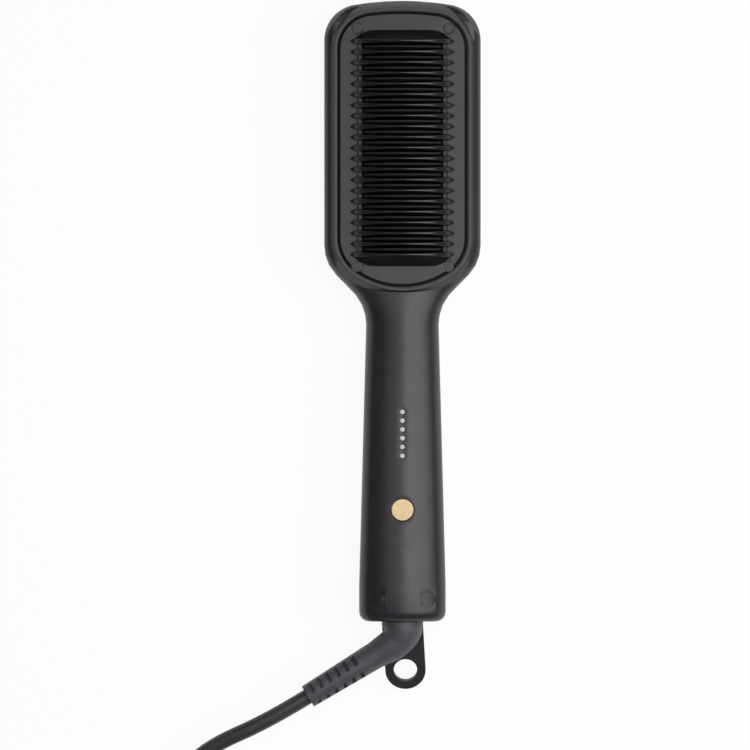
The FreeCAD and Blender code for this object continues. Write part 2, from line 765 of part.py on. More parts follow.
def comb_cover():
    """The cover that carries the comb, with a cup for each screw."""
    plate = shield(-CREST_WIDTH - GROOVE_GAP, COVER_BOTTOM, COVER_TOP)
    rim = [edge for edge in plate.Edges if edge.BoundBox.ZMin > COVER_TOP - EDGE_TOLERANCE]
    plate = plate.makeChamfer(COVER_CHAMFER, rim)
    places = comb_places()
    window = middle_box(WINDOW_WIDTH, places[-1], places[0], COVER_BOTTOM - OVER, COVER_TOP + OVER)
    plate = plate.cut(window)
    extras = []
    for y in places:
        bar = comb_bar()
        bar.translate(Vector(0, y, 0))
        extras.append(bar)
    extras.append(end_ramp(places[0], 1))
    extras.append(end_ramp(places[-1], -1))
    for side in (-1, 1):
        for index in range(2):
            x = side * (WINDOW_WIDTH / 2 + LIP_WIDTH / 2 + index * LIP_SPACING)
            lip = box(x - LIP_WIDTH / 2, x + LIP_WIDTH / 2, places[-1], places[0],
                      COVER_TOP - LIP_HEIGHT, COVER_TOP + LIP_HEIGHT)
            extras.append(lip)
    cup_foot = COVER_TOP - CUP_DEPTH
    for x, y in cover_screw_places():
        extras.append(pillar(CUP_RADIUS, x, y, cup_foot, COVER_BOTTOM))
    cover = fuse_all(plate, extras)
    for x, y in cover_screw_places():
        cup = pillar(COVER_PLUG_RADIUS + PLUG_GAP, x, y, cup_foot + CUP_FLOOR, COVER_TOP + OVER)
        cover = cover.cut(cup)
        cover = cover.cut(pillar(SCREW_HOLE_RADIUS, x, y, cup_foot - OVER, COVER_TOP))
    return cover.removeSplitter()


def heater_range():
    """The two ends of the heater's plate, clear of the screw cups."""
    return COMB_MIDDLE_Y - HEATER_HALF, COMB_MIDDLE_Y + HEATER_HALF


HEATER_TOP = HEAD_DEPTH - WALL - TRAY_RIM_ROOM
HEATER_BOTTOM = HEATER_TOP - HEATER_THICKNESS
ELEMENT_BOTTOM = HEATER_BOTTOM - ELEMENT_THICKNESS
MICA_BOTTOM = ELEMENT_BOTTOM - MICA_THICKNESS
CLAMP_BOTTOM = MICA_BOTTOM - CLAMP_THICKNESS
TRAY_BOTTOM = CLAMP_BOTTOM - TRAY_FLOOR


def heater_plate():
    """The heated plate, with a fin standing in each gap of the comb."""
    low, high = heater_range()
    plate = middle_box(HEATER_WIDTH, low, high, HEATER_BOTTOM, HEATER_TOP)
    fins = []
    for y, following in zip(comb_places(), comb_places()[1:]):
        middle = (y + following) / 2
        face = arch_face(FIN_LENGTH, FIN_DROP, HEATER_TOP, middle - FIN_THICKNESS / 2)
        fins.append(face.extrude(Y_AXIS * FIN_THICKNESS))
    return fuse_all(plate, fins)


def element_range():
    """The outer ends of the two heating elements."""
    low, high = heater_range()
    return low + ELEMENT_END_ROOM, high - ELEMENT_END_ROOM


def element_middles():
    """Y of the middle of each heating element."""
    return [COMB_MIDDLE_Y - ELEMENT_SPACING / 2, COMB_MIDDLE_Y + ELEMENT_SPACING / 2]


def heater_elements():
    """Two flat ceramic heating elements under the plate."""
    half = ELEMENT_LENGTH / 2
    return [middle_box(ELEMENT_WIDTH, y - half, y + half, ELEMENT_BOTTOM, HEATER_BOTTOM)
            for y in element_middles()]


def mica_sheet():
    """The insulating sheet under the heating elements."""
    low, high = element_range()
    return middle_box(CLAMP_WIDTH, low, high, MICA_BOTTOM, ELEMENT_BOTTOM)


def heater_clamp():
    """The steel plate that presses the elements up, with a round dimple under each end of them."""
    low, high = element_range()
    plate = middle_box(CLAMP_WIDTH, low, high, CLAMP_BOTTOM, MICA_BOTTOM)
    pads = []
    for x in (-CLAMP_WIDTH / 4, CLAMP_WIDTH / 4):
        for y in element_middles():
            pads.append(pillar(DIMPLE_RADIUS, x, y, CLAMP_BOTTOM - OVER, CLAMP_BOTTOM + DIMPLE_DEPTH))
    return plate.cut(Part.makeCompound(pads))


def tray_outline():
    """Outer half width and the two outer ends of the heater's tray."""
    low, high = heater_range()
    reach = LOOSE_GAP + TRAY_WALL
    return HEATER_WIDTH / 2 + reach, low - reach, high + reach


def tray_screw_places():
    """Centres of the tray's two screws, one beyond each end."""
    _, low, high = tray_outline()
    reach = TRAY_EAR_LENGTH / 2
    return [(0, low - reach), (0, high + reach)]


def heater_tray():
    """The heat-proof tray that holds the heater's stack, with a screw ear at each end."""
    side, low, high = tray_outline()
    block = box(-side, side, low, high, TRAY_BOTTOM, HEATER_TOP)
    room = box(-side + TRAY_WALL, side - TRAY_WALL, low + TRAY_WALL, high - TRAY_WALL,
               CLAMP_BOTTOM, HEATER_TOP + OVER)
    ear_top = TRAY_BOTTOM + TRAY_EAR_THICKNESS
    ears = middle_box(TRAY_EAR_WIDTH, low - TRAY_EAR_LENGTH, high + TRAY_EAR_LENGTH, TRAY_BOTTOM, ear_top)
    tray = block.fuse(ears).cut(room)
    for x, y in tray_screw_places():
        tray = tray.cut(pillar(SCREW_HOLE_RADIUS, x, y, TRAY_BOTTOM - OVER, ear_top + OVER))
    for x in (-HEATER_LEAD_OFFSET, HEATER_LEAD_OFFSET):
        half = LEAD_SLOT_WIDTH / 2
        slot = box(x - half, x + half, low - OVER, low + TRAY_WALL + OVER, ELEMENT_BOTTOM, HEATER_TOP + OVER)
        tray = tray.cut(slot)
    return tray


def sensor(radius, length, x):
    """A small round sensor lying across the middle of the heater's stack."""
    low = ELEMENT_BOTTOM + radius
    start = Vector(x - length / 2, COMB_MIDDLE_Y, low)
    return Part.makeCylinder(radius, length, start, X_AXIS)


def screw(x, y, head_z, head_radius, radius, length):
    """A pan-head screw with its shank downwards, from the seat of its head."""
    shank = pillar(radius, x, y, head_z - length, head_z)
    head = pillar(head_radius, x, y, head_z, head_z + SCREW_HEAD_HEIGHT)
    return shank.fuse(head)


COVER_SCREW_SEAT = COVER_TOP - CUP_DEPTH + CUP_FLOOR
GRIP_SCREW_SEAT = GRIP_CUP_HEIGHT + CUP_FLOOR
TRAY_SCREW_SEAT = TRAY_BOTTOM + TRAY_EAR_THICKNESS


def cover_screws():
    """Four screws that hold the cover and the head's shells together."""
    places = cover_screw_places()
    return [screw(x, y, COVER_SCREW_SEAT, SCREW_HEAD_RADIUS, SCREW_RADIUS, SCREW_LENGTH) for x, y in places]


def cover_plugs():
    """Four caps that hide the cover's screws."""
    low = COVER_TOP - PLUG_THICKNESS
    return [pillar(COVER_PLUG_RADIUS, x, y, low, COVER_TOP) for x, y in cover_screw_places()]


def tray_screws():
    """Two screws that hold the heater's tray."""
    return [screw(x, y, TRAY_SCREW_SEAT, SCREW_HEAD_RADIUS, SCREW_RADIUS, SCREW_LENGTH)
            for x, y in tray_screw_places()]


def grip_screws():
    """Two screws that hold the shells together at the grip's end."""
    return [screw(x, y, GRIP_SCREW_SEAT, GRIP_SCREW_HEAD_RADIUS, SCREW_RADIUS, SCREW_LENGTH)
            for x, y in grip_screw_places()]


def grip_plugs(outer):
    """Two caps over the grip's screws, flush with the housing."""
    plugs = []
    for x, y in grip_screw_places():
        blank = pillar(GRIP_PLUG_RADIUS, x, y, GRIP_PLUG_HEIGHT, GRIP_DEPTH + OVER)
        plugs.append(blank.common(outer))
    return plugs


def board_screws():
    """Two screws that hold the control board."""
    return [screw(x, y, BOARD_TOP_HEIGHT, BOARD_SCREW_HEAD_RADIUS, BOARD_SCREW_RADIUS, BOARD_SCREW_LENGTH)
            for x, y in board_screw_places()]


# ---------------------------------------------------------------- shells

def bosses():
    """Centre, radius and top of each pillar that stands in the back shell."""
    pillars = [(x, y, BOSS_RADIUS, COVER_TOP - CUP_DEPTH - SEAT_GAP) for x, y in cover_screw_places()]
    pillars += [(x, y, GRIP_BOSS_RADIUS, GRIP_CUP_HEIGHT - SEAT_GAP) for x, y in grip_screw_places()]
    pillars += [(x, y, POST_RADIUS, BOARD_TOP_HEIGHT - BOARD_THICKNESS) for x, y in board_screw_places()]
    pillars += [(x, y, POST_RADIUS, TRAY_BOTTOM) for x, y in tray_screw_places()]
    return pillars


def pilot_holes():
    """Screw holes in the back shell's pillars."""
    reach = SCREW_LENGTH + OVER
    holes = []
    for places, seat in ((cover_screw_places(), COVER_SCREW_SEAT), (grip_screw_places(), GRIP_SCREW_SEAT),
                         (tray_screw_places(), TRAY_SCREW_SEAT)):
        holes += [pillar(SCREW_RADIUS + PILOT_GAP, x, y, seat - reach, seat) for x, y in places]
    for x, y in board_screw_places():
        low = BOARD_TOP_HEIGHT - BOARD_SCREW_LENGTH - OVER
        holes.append(pillar(BOARD_SCREW_RADIUS + PILOT_GAP, x, y, low, BOARD_TOP_HEIGHT))
    return holes


BOOT_START_Y = END_Y - LOOSE_GAP
FLANGE_LOW_Y = INNER_END_Y + LOOSE_GAP
FLANGE_HIGH_Y = FLANGE_LOW_Y + FLANGE_THICKNESS
BULKHEAD_Y = FLANGE_HIGH_Y + LOOSE_GAP
BARREL_END_Y = FLANGE_HIGH_Y + BARREL_LENGTH
RING_PLACES = [BARREL_END_Y - RING_END_ROOM - RING_WIDTH / 2 - index * RING_SPACING for index in range(2)]
CONTACT_Y = sum(RING_PLACES) / 2


def bulkhead():
    """The wall that keeps the swivel's flange in, with a hole for its barrel."""
    far = BULKHEAD_Y + BULKHEAD_THICKNESS
    wall = middle_box(GRIP_WIDTH, BULKHEAD_Y, far, 0, GRIP_DEPTH)
    return wall.cut(shaft(BARREL_RADIUS + LOOSE_GAP, BULKHEAD_Y - OVER, far + OVER))


def swivel_hole():
    """The hole in the grip's end wall that the swivel turns in."""
    return shaft(JOURNAL_RADIUS + RUNNING_GAP, END_Y - OVER, INNER_END_Y + OVER)


def cradle(low, high):
    """A rib that holds the contact block between two heights."""
    half = CONTACT_BLOCK_LENGTH / 2
    return middle_box(CONTACT_BLOCK_WIDTH - 2 * CRADLE_MARGIN, CONTACT_Y - half, CONTACT_Y + half, low, high)


def contact_block_heights():
    """Bottom and top of the contact block."""
    reach = CONTACT_BORE_RADIUS + CONTACT_BLOCK_WALL
    return SWIVEL_HEIGHT - reach, SWIVEL_HEIGHT + reach


def back_shell(outer, cavity):
    """The half that the brush lies on, with the pillars that everything is screwed to."""
    pillars = [pillar(radius, x, y, 0, top) for x, y, radius, top in bosses()]
    room = cavity.cut(Part.makeCompound(pillars))
    room = room.cut(cradle(0, contact_block_heights()[0])).cut(bulkhead())
    half = box(-FAR, FAR, -FAR, FAR, -OVER, PARTING_HEIGHT)
    shell = outer.cut(room).common(fuse_all(half, pillars))
    return shell.cut(swivel_hole()).cut(Part.makeCompound(pilot_holes()))


def front_shell(outer, cavity):
    """The half with the bezel, the button and the lights."""
    cup_radius = GRIP_PLUG_RADIUS + PLUG_GAP + GRIP_CUP_WALL
    inner = [pillar(cup_radius, x, y, GRIP_CUP_HEIGHT, GRIP_DEPTH) for x, y in grip_screw_places()]
    surface = front_height(BUTTON_Y)
    button_hole = BUTTON_RADIUS + BUTTON_GAP
    inner.append(pillar(button_hole + BUTTON_WELL_WALL, 0, BUTTON_Y, surface - BUTTON_WELL_DEPTH, GRIP_DEPTH))
    inner.append(cradle(contact_block_heights()[1] + SEAT_GAP, GRIP_DEPTH))
    clear = [pillar(radius + LOOSE_GAP, x, y, 0, top + SEAT_GAP) for x, y, radius, top in bosses()]
    inner.append(bulkhead().cut(Part.makeCompound(clear)))
    room = cavity.cut(Part.makeCompound(inner[:3])).cut(inner[3]).cut(inner[4])
    raised = outer.fuse(bezel().common(head_prism(0)))
    shell = raised.cut(room).common(box(-FAR, FAR, -FAR, FAR, PARTING_HEIGHT, FAR))
    places = comb_places()
    opening = middle_box(WINDOW_WIDTH + LIP_SPACING * 4, places[-1] + LIP_WIDTH, places[0] - LIP_WIDTH,
                         HEATER_TOP - OVER, COVER_TOP)
    tools = [shield(-CREST_WIDTH, COVER_BOTTOM, CREST_HEIGHT + OVER), opening, swivel_hole()]
    cup_radius = CUP_RADIUS + SEAT_GAP
    cup_foot = COVER_TOP - CUP_DEPTH - SEAT_GAP
    tools += [pillar(cup_radius, x, y, cup_foot, COVER_BOTTOM) for x, y in cover_screw_places()]
    for x, y in grip_screw_places():
        tools.append(pillar(GRIP_PLUG_RADIUS + PLUG_GAP, x, y, GRIP_SCREW_SEAT, GRIP_DEPTH + OVER))
        tools.append(pillar(SCREW_HOLE_RADIUS, x, y, GRIP_CUP_HEIGHT - OVER, GRIP_DEPTH))
    tools.append(pillar(button_hole, 0, BUTTON_Y, surface - BUTTON_WELL_DEPTH - OVER, GRIP_DEPTH + OVER))
    light_hole = LIGHT_RADIUS + PLUG_GAP
    tools += [pillar(light_hole, 0, y, GUIDE_HEIGHT - OVER, GRIP_DEPTH + OVER) for y in light_places()]
    for tool in tools:
        shell = shell.cut(tool)
    return shell


# ---------------------------------------------------------------- button, lights and board

def control_board():
    """The circuit board, with holes for its screws."""
    low, high = board_range()
    board = middle_box(BOARD_WIDTH, low, high, BOARD_TOP_HEIGHT - BOARD_THICKNESS, BOARD_TOP_HEIGHT)
    for x, y in board_screw_places():
        hole = pillar(BOARD_SCREW_RADIUS + SEAT_GAP, x, y, 0, BOARD_TOP_HEIGHT + OVER)
        board = board.cut(hole)
    return board


def on_board(x_middle, y_middle, width, length, height):
    """A block-shaped component standing on the board."""
    return box(x_middle - width / 2, x_middle + width / 2, y_middle - length / 2, y_middle + length / 2,
               BOARD_TOP_HEIGHT, BOARD_TOP_HEIGHT + height)


def triac():
    """The switch that feeds the heater."""
    x, beyond = TRIAC_PLACE
    return on_board(x, light_places()[-1] + beyond, *TRIAC_SIZE)


def microcontroller():
    """The chip that reads the button and steers the heater."""
    x, beyond = MICROCONTROLLER_PLACE
    return on_board(x, light_places()[-1] + beyond, *MICROCONTROLLER_SIZE)


def film_capacitor():
    """The box-shaped capacitor across the mains."""
    return on_board(0, BUTTON_Y + FILM_CAPACITOR_OFFSET, *FILM_CAPACITOR_SIZE)


def reservoir_capacitor():
    """A round capacitor lying on the board."""
    low, _ = board_range()
    start = Vector(-RESERVOIR_OFFSET, low + RESERVOIR_END_MARGIN, BOARD_TOP_HEIGHT + RESERVOIR_RADIUS)
    return Part.makeCylinder(RESERVOIR_RADIUS, RESERVOIR_LENGTH, start, Y_AXIS)


PLUNGER_TOP = BOARD_TOP_HEIGHT + SWITCH_HEIGHT + SWITCH_PLUNGER_REACH
PLUNGER_BOTTOM = BOARD_TOP_HEIGHT + SWITCH_HEIGHT - SWITCH_PLUNGER_SUNK


def switch_body():
    """The push switch's body, with a well for its plunger."""
    body = on_board(0, BUTTON_Y, SWITCH_WIDTH, SWITCH_WIDTH, SWITCH_HEIGHT)
    well = pillar(SWITCH_PLUNGER_RADIUS + SEAT_GAP, 0, BUTTON_Y,
                  PLUNGER_BOTTOM - BUTTON_TRAVEL - LOOSE_GAP, PLUNGER_TOP)
    return body.cut(well)


def switch_plunger():
    """The push switch's plunger."""
    return pillar(SWITCH_PLUNGER_RADIUS, 0, BUTTON_Y, PLUNGER_BOTTOM, PLUNGER_TOP)


def button_cap():
    """The button, with a flange that holds it in and a stem that works the switch."""
    surface = front_height(BUTTON_Y)
    flange_top = surface - BUTTON_WELL_DEPTH - SEAT_GAP
    flange_bottom = flange_top - BUTTON_FLANGE_THICKNESS
    cap = pillar(BUTTON_RADIUS, 0, BUTTON_Y, flange_bottom, surface + BUTTON_PROUD)
    rim = [edge for edge in cap.Edges if edge.BoundBox.ZMin > surface]
    cap = cap.makeChamfer(BUTTON_BEVEL, rim)
    flange = pillar(BUTTON_RADIUS + BUTTON_FLANGE, 0, BUTTON_Y, flange_bottom, flange_top)
    stem = pillar(STEM_RADIUS, 0, BUTTON_Y, PLUNGER_TOP, flange_bottom)
    return fuse_all(cap, [flange, stem])


def status_leds():
    """The row of lamps on the board."""
    return [on_board(0, y, LED_SIZE, LED_SIZE, LED_HEIGHT) for y in light_places()]


def light_guide(outer):
    """The clear block that carries the lamps' light to six round windows."""
    places = light_places()
    low = BOARD_TOP_HEIGHT + LED_HEIGHT + LOOSE_GAP
    guide = middle_box(GUIDE_WIDTH, places[0] - GUIDE_END, places[-1] + GUIDE_END, low, GUIDE_HEIGHT)
    pegs = [pillar(LIGHT_RADIUS, 0, y, GUIDE_HEIGHT - OVER, GRIP_DEPTH).common(outer) for y in places]
    return fuse_all(guide, pegs)


def wire_lead(points):
    """A thin insulated wire whose corners are cut across."""
    route = [points[0]]
    for before, corner, after in zip(points, points[1:], points[2:]):
        for neighbour in (before, after):
            step = neighbour - corner
            step.normalize()
            route.append(corner + step * LEAD_CORNER)
    route.append(points[-1])
    profile = Part.Wire(Part.makeCircle(LEAD_RADIUS, route[0], route[1] - route[0]))
    return Part.makePolygon(route).makePipeShell([profile], True, False, 1)


def heater_leads():
    """Leads from the heating elements to the board."""
    element_end, _ = element_range()
    _, board_end = board_range()
    height = ELEMENT_BOTTOM + ELEMENT_THICKNESS / 2
    landing = Vector(HEATER_LEAD_OFFSET, board_end - LANDING_MARGIN, BOARD_TOP_HEIGHT)
    corner = Vector(landing.x, landing.y, height)
    points = [Vector(landing.x, element_end, height), corner, landing]
    return [wire_lead(points), wire_lead([mirrored(point) for point in points])]


def mains_leads():
    """Leads from the swivel's contacts to the board."""
    leads = []
    board_end, _ = board_range()
    foot = CONTACT_HEIGHT + CONTACT_THICKNESS
    for side, y in zip((1, -1), RING_PLACES):
        start = Vector(side * (CONTACT_LENGTH / 2 - LEAD_RADIUS), y, foot)
        landing = Vector(side * LANDING_OFFSET, board_end + LANDING_MARGIN, BOARD_TOP_HEIGHT)
        points = [start, start + Z_AXIS * LEAD_RISE]
        points += [Vector(landing.x, landing.y, foot + LEAD_RISE), landing]
        leads.append(wire_lead(points))
    return leads


# ---------------------------------------------------------------- swivel, boot and loop

CONTACT_HEIGHT = SWIVEL_HEIGHT + RING_RADIUS + RUNNING_GAP


def swivel_collar():
    """The turning collar: spigot, journal, flange and barrel on one axis."""
    collar = shaft(JOURNAL_RADIUS, BOOT_START_Y, FLANGE_LOW_Y)
    parts = [shaft(FLANGE_RADIUS, FLANGE_LOW_Y, FLANGE_HIGH_Y)]
    parts.append(shaft(BARREL_RADIUS, FLANGE_HIGH_Y, BARREL_END_Y))
    parts.append(shaft(SPIGOT_RADIUS, BOOT_START_Y - SPIGOT_LENGTH, BOOT_START_Y))
    collar = fuse_all(collar, parts)
    return collar.cut(shaft(PASSAGE_RADIUS, BOOT_START_Y - SPIGOT_LENGTH - OVER, BARREL_END_Y + OVER))


def slip_rings():
    """Two brass rings round the collar's barrel."""
    rings = []
    for y in RING_PLACES:
        low = y - RING_WIDTH / 2
        high = y + RING_WIDTH / 2
        rings.append(shaft(RING_RADIUS, low, high).cut(shaft(BARREL_RADIUS, low - OVER, high + OVER)))
    return rings


def contact_block():
    """The fixed block round the slip rings, slotted for the contacts."""
    low, high = contact_block_heights()
    half = CONTACT_BLOCK_LENGTH / 2
    block = middle_box(CONTACT_BLOCK_WIDTH, CONTACT_Y - half, CONTACT_Y + half, low, high)
    block = block.cut(shaft(CONTACT_BORE_RADIUS, CONTACT_Y - half - OVER, CONTACT_Y + half + OVER))
    for y in RING_PLACES:
        reach = CONTACT_WIDTH / 2 + SEAT_GAP
        slot = middle_box(CONTACT_BLOCK_WIDTH + 2, y - reach, y + reach, CONTACT_HEIGHT - SEAT_GAP,
                          CONTACT_HEIGHT + CONTACT_THICKNESS + SEAT_GAP)
        block = block.cut(slot)
    return block


def contact_strips():
    """Two bronze strips that touch the slip rings."""
    half = CONTACT_WIDTH / 2
    top = CONTACT_HEIGHT + CONTACT_THICKNESS
    return [middle_box(CONTACT_LENGTH, y - half, y + half, CONTACT_HEIGHT, top) for y in RING_PLACES]


def arm_direction():
    """The direction of the boot's arm."""
    turn = math.radians(BOOT_TURN)
    return Vector(-math.sin(turn), -math.cos(turn), 0)


BOOT_CORNER = Vector(0, END_Y - BOOT_CORNER_REACH, SWIVEL_HEIGHT)
BOOT_END = BOOT_CORNER + arm_direction() * BOOT_ARM_LENGTH


def boot_bend():
    """The boot's bend as a stretch of narrowing rings, and the neck before it."""
    tangent = BOOT_BEND_RADIUS * math.tan(math.radians(BOOT_TURN / 2))
    start = BOOT_CORNER + Y_AXIS * tangent
    centre = start - X_AXIS * BOOT_BEND_RADIUS
    wires = []
    for step in range(BOOT_BEND_STEPS + 1):
        share = step / BOOT_BEND_STEPS
        turn = math.radians(BOOT_TURN * share)
        place = centre + Vector(math.cos(turn), -math.sin(turn), 0) * BOOT_BEND_RADIUS
        along = Vector(-math.sin(turn), -math.cos(turn), 0)
        radius = BOOT_RADIUS + (BOOT_BEND_END_RADIUS - BOOT_RADIUS) * ease(share, 0, 1)
        wires.append(Part.Wire(Part.makeCircle(radius, place, along)))
    return Part.makeLoft(wires, True, True).fuse(shaft(BOOT_RADIUS, start.y, BOOT_START_Y))


def boot_blank():
    """The boot before its bore and slots: a neck, a bend and a tapering arm."""
    tangent = BOOT_BEND_RADIUS * math.tan(math.radians(BOOT_TURN / 2))
    rings = [(tangent, BOOT_BEND_END_RADIUS), (BOOT_WAIST_REACH, BOOT_WAIST_RADIUS)]
    rings.append((BOOT_ARM_LENGTH, BOOT_END_RADIUS))
    arms = []
    for (reach, radius), (next_reach, next_radius) in zip(rings, rings[1:]):
        place = BOOT_CORNER + arm_direction() * reach
        arms.append(Part.makeCone(radius, next_radius, next_reach - reach, place, arm_direction()))
    return fuse_all(boot_bend(), arms)


def boot_slots():
    """The slots that let the boot's arm flex."""
    across = arm_direction().cross(Z_AXIS)
    cutters = []
    for index in range(SLOT_COUNT):
        reach = BOOT_ARM_LENGTH - SLOT_END_MARGIN - index * SLOT_PITCH
        place = BOOT_CORNER + arm_direction() * reach
        for angle in SLOT_ROW_ANGLES:
            cutter = Part.makeBox(SLOT_REACH, SLOT_WIDTH, BOOT_END_RADIUS)
            cutter.translate(Vector(-SLOT_REACH / 2, -SLOT_WIDTH / 2, BOOT_WAIST_RADIUS - SLOT_DEPTH))
            cutter.rotate(Vector(), Y_AXIS, angle)
            cutter.rotate(Vector(), Z_AXIS, math.degrees(math.atan2(-across.y, -across.x)))
            cutter.translate(place)
            cutters.append(cutter)
    return Part.makeCompound(cutters)


def loop_plate():
    """The hanging loop before it is fitted round the spigot."""
    tilt = math.radians(LOOP_DROOP)
    root_y = BOOT_START_Y - LOOP_THICKNESS / 2 * math.sin(tilt) - SEAT_GAP
    ring_y = -OVERALL_LENGTH / 2 + LOOP_RADIUS * math.cos(tilt) + LOOP_THICKNESS / 2 * math.sin(tilt)
    reach = (root_y - ring_y) / math.cos(tilt)
    side = BOOT_RADIUS - SEAT_GAP
    points = [Vector(-side, 0, 0), Vector(LOOP_OFFSET - LOOP_RADIUS, -reach, 0)]
    points += [Vector(LOOP_OFFSET + LOOP_RADIUS, -reach, 0), Vector(side, 0, 0)]
    tip = Vector(LOOP_OFFSET, -reach - LOOP_RADIUS, 0)
    edges = [Part.LineSegment(points[0], points[1]).toShape(), Part.Arc(points[1], tip, points[2]).toShape()]
    straight = [points[2], points[3], points[0]]
    edges += [Part.LineSegment(a, b).toShape() for a, b in zip(straight, straight[1:])]
    plate = Part.Face(Part.Wire(edges)).extrude(Z_AXIS * LOOP_THICKNESS)
    hole = pillar(LOOP_HOLE_RADIUS, LOOP_OFFSET, -reach, -OVER, LOOP_THICKNESS + OVER)
    plate = plate.cut(hole)
    plate.translate(Vector(0, 0, -LOOP_THICKNESS / 2))
    plate.rotate(Vector(), X_AXIS, LOOP_DROOP)
    plate.translate(Vector(0, root_y, SWIVEL_HEIGHT))
    return plate


def spigot_room():
    """The space that the collar's spigot takes up in the boot."""
    return shaft(SPIGOT_RADIUS, BOOT_START_Y - SPIGOT_LENGTH, BOOT_START_Y + OVER)


def hang_loop():
    """The loop, forked round the spigot inside the boot."""
    return loop_plate().cut(spigot_room())


def strain_relief_boot():
    """The rubber boot, moulded round the spigot and the loop's root."""
    return boot_blank().cut(spigot_room()).cut(loop_plate()).cut(boot_slots())


# ---------------------------------------------------------------- lead, coil and plug

def lead_points():
    """The lead's route from the boot down to the coil."""
    return [BOOT_END, BOOT_END + arm_direction() * LEAD_FIRST_RUN] + LEAD_REST_POINTS


def band_face(growth):
    """The section of the coil of lead, or the same grown on all sides."""
    width = COIL_BAND_WIDTH + 2 * growth
    height = COIL_BAND_HEIGHT + 2 * growth
    low = TIE_THICKNESS - growth
    bevel = COIL_BEVEL + growth * (2 - math.sqrt(2))
    blank = box(COIL_MEAN_RADIUS - width / 2, COIL_MEAN_RADIUS + width / 2, 0, 1, low, low + height)
    long_edges = [edge for edge in blank.Edges if edge.BoundBox.YLength > EDGE_TOLERANCE]
    bevelled = blank.makeChamfer(bevel, long_edges)
    return [face for face in bevelled.Faces if face.BoundBox.YMax < EDGE_TOLERANCE][0]


def cord_coil():
    """The outer shape of the coiled lead."""
    coil = band_face(0).revolve(Vector(), Z_AXIS, 360)
    coil.translate(COIL_CENTRE)
    return coil


def cord_tie():
    """The strap round the coiled lead."""
    tie = band_face(TIE_THICKNESS).cut(band_face(0)).Faces[0].revolve(Vector(), Z_AXIS, TIE_ARC)
    tie.rotate(Vector(), Z_AXIS, TIE_ANGLE)
    tie.translate(COIL_CENTRE)
    return tie


PLUG_REAR = TAIL_POINTS[-1]
PIN_ROOT_X = PLUG_REAR.x + PLUG_LENGTH


def pin_places():
    """Y of the two plug pins."""
    return [PLUG_REAR.y - PIN_SPACING / 2, PLUG_REAR.y + PIN_SPACING / 2]


def along_x(radius, y, x_low, x_high):
    """A cylinder in line with the plug's pins."""
    return Part.makeCylinder(radius, x_high - x_low, Vector(x_low, y, PLUG_REAR.z), X_AXIS)


def plug_body():
    """The flat plug, narrow at the lead and wide at the pins, with a sleeve on each pin."""
    rear = PLUG_REAR.x
    half_rear = PLUG_REAR_WIDTH / 2
    half = PLUG_WIDTH / 2
    shoulder = rear + PLUG_LENGTH * PLUG_FLANK_SHARE
    outline = [(rear, -half_rear), (shoulder, -half), (PIN_ROOT_X, -half)]
    outline += [(PIN_ROOT_X, half), (shoulder, half), (rear, half_rear)]
    low = PLUG_REAR.z - PLUG_HEIGHT / 2
    points = [Vector(x, PLUG_REAR.y + y, low) for x, y in outline]
    body = Part.Face(Part.makePolygon(points + points[:1])).extrude(Z_AXIS * PLUG_HEIGHT)
    upright = [edge for edge in body.Edges if edge.BoundBox.ZLength > EDGE_TOLERANCE]
    body = body.makeFillet(PLUG_EDGE_RADIUS, upright)
    flat = [edge for edge in body.Edges if edge.BoundBox.ZLength < EDGE_TOLERANCE]
    body = body.makeChamfer(PLUG_BEVEL, flat)
    sleeve_end = PIN_ROOT_X + PIN_SLEEVE_LENGTH
    for y in pin_places():
        body = body.fuse(along_x(PIN_SLEEVE_RADIUS, y, PIN_ROOT_X - OVER, sleeve_end))
        body = body.cut(along_x(PIN_CORE_RADIUS, y, PIN_ROOT_X - PIN_CORE_SUNK, sleeve_end))
    return body


def plug_pins():
    """The two round pins, thinner where the sleeves cover them."""
    pins = []
    for y in pin_places():
        sleeve_end = PIN_ROOT_X + PIN_SLEEVE_LENGTH
        tip = PIN_ROOT_X + PIN_LENGTH
        head = along_x(PIN_RADIUS, y, sleeve_end, tip)
        rim = [edge for edge in head.Edges if edge.BoundBox.XMin > tip - EDGE_TOLERANCE]
        head = head.makeChamfer(PIN_BEVEL, rim)
        pins.append(head.fuse(along_x(PIN_CORE_RADIUS, y, PIN_ROOT_X - PIN_CORE_SUNK, sleeve_end)))
    return pins


# ---------------------------------------------------------------- the whole brush

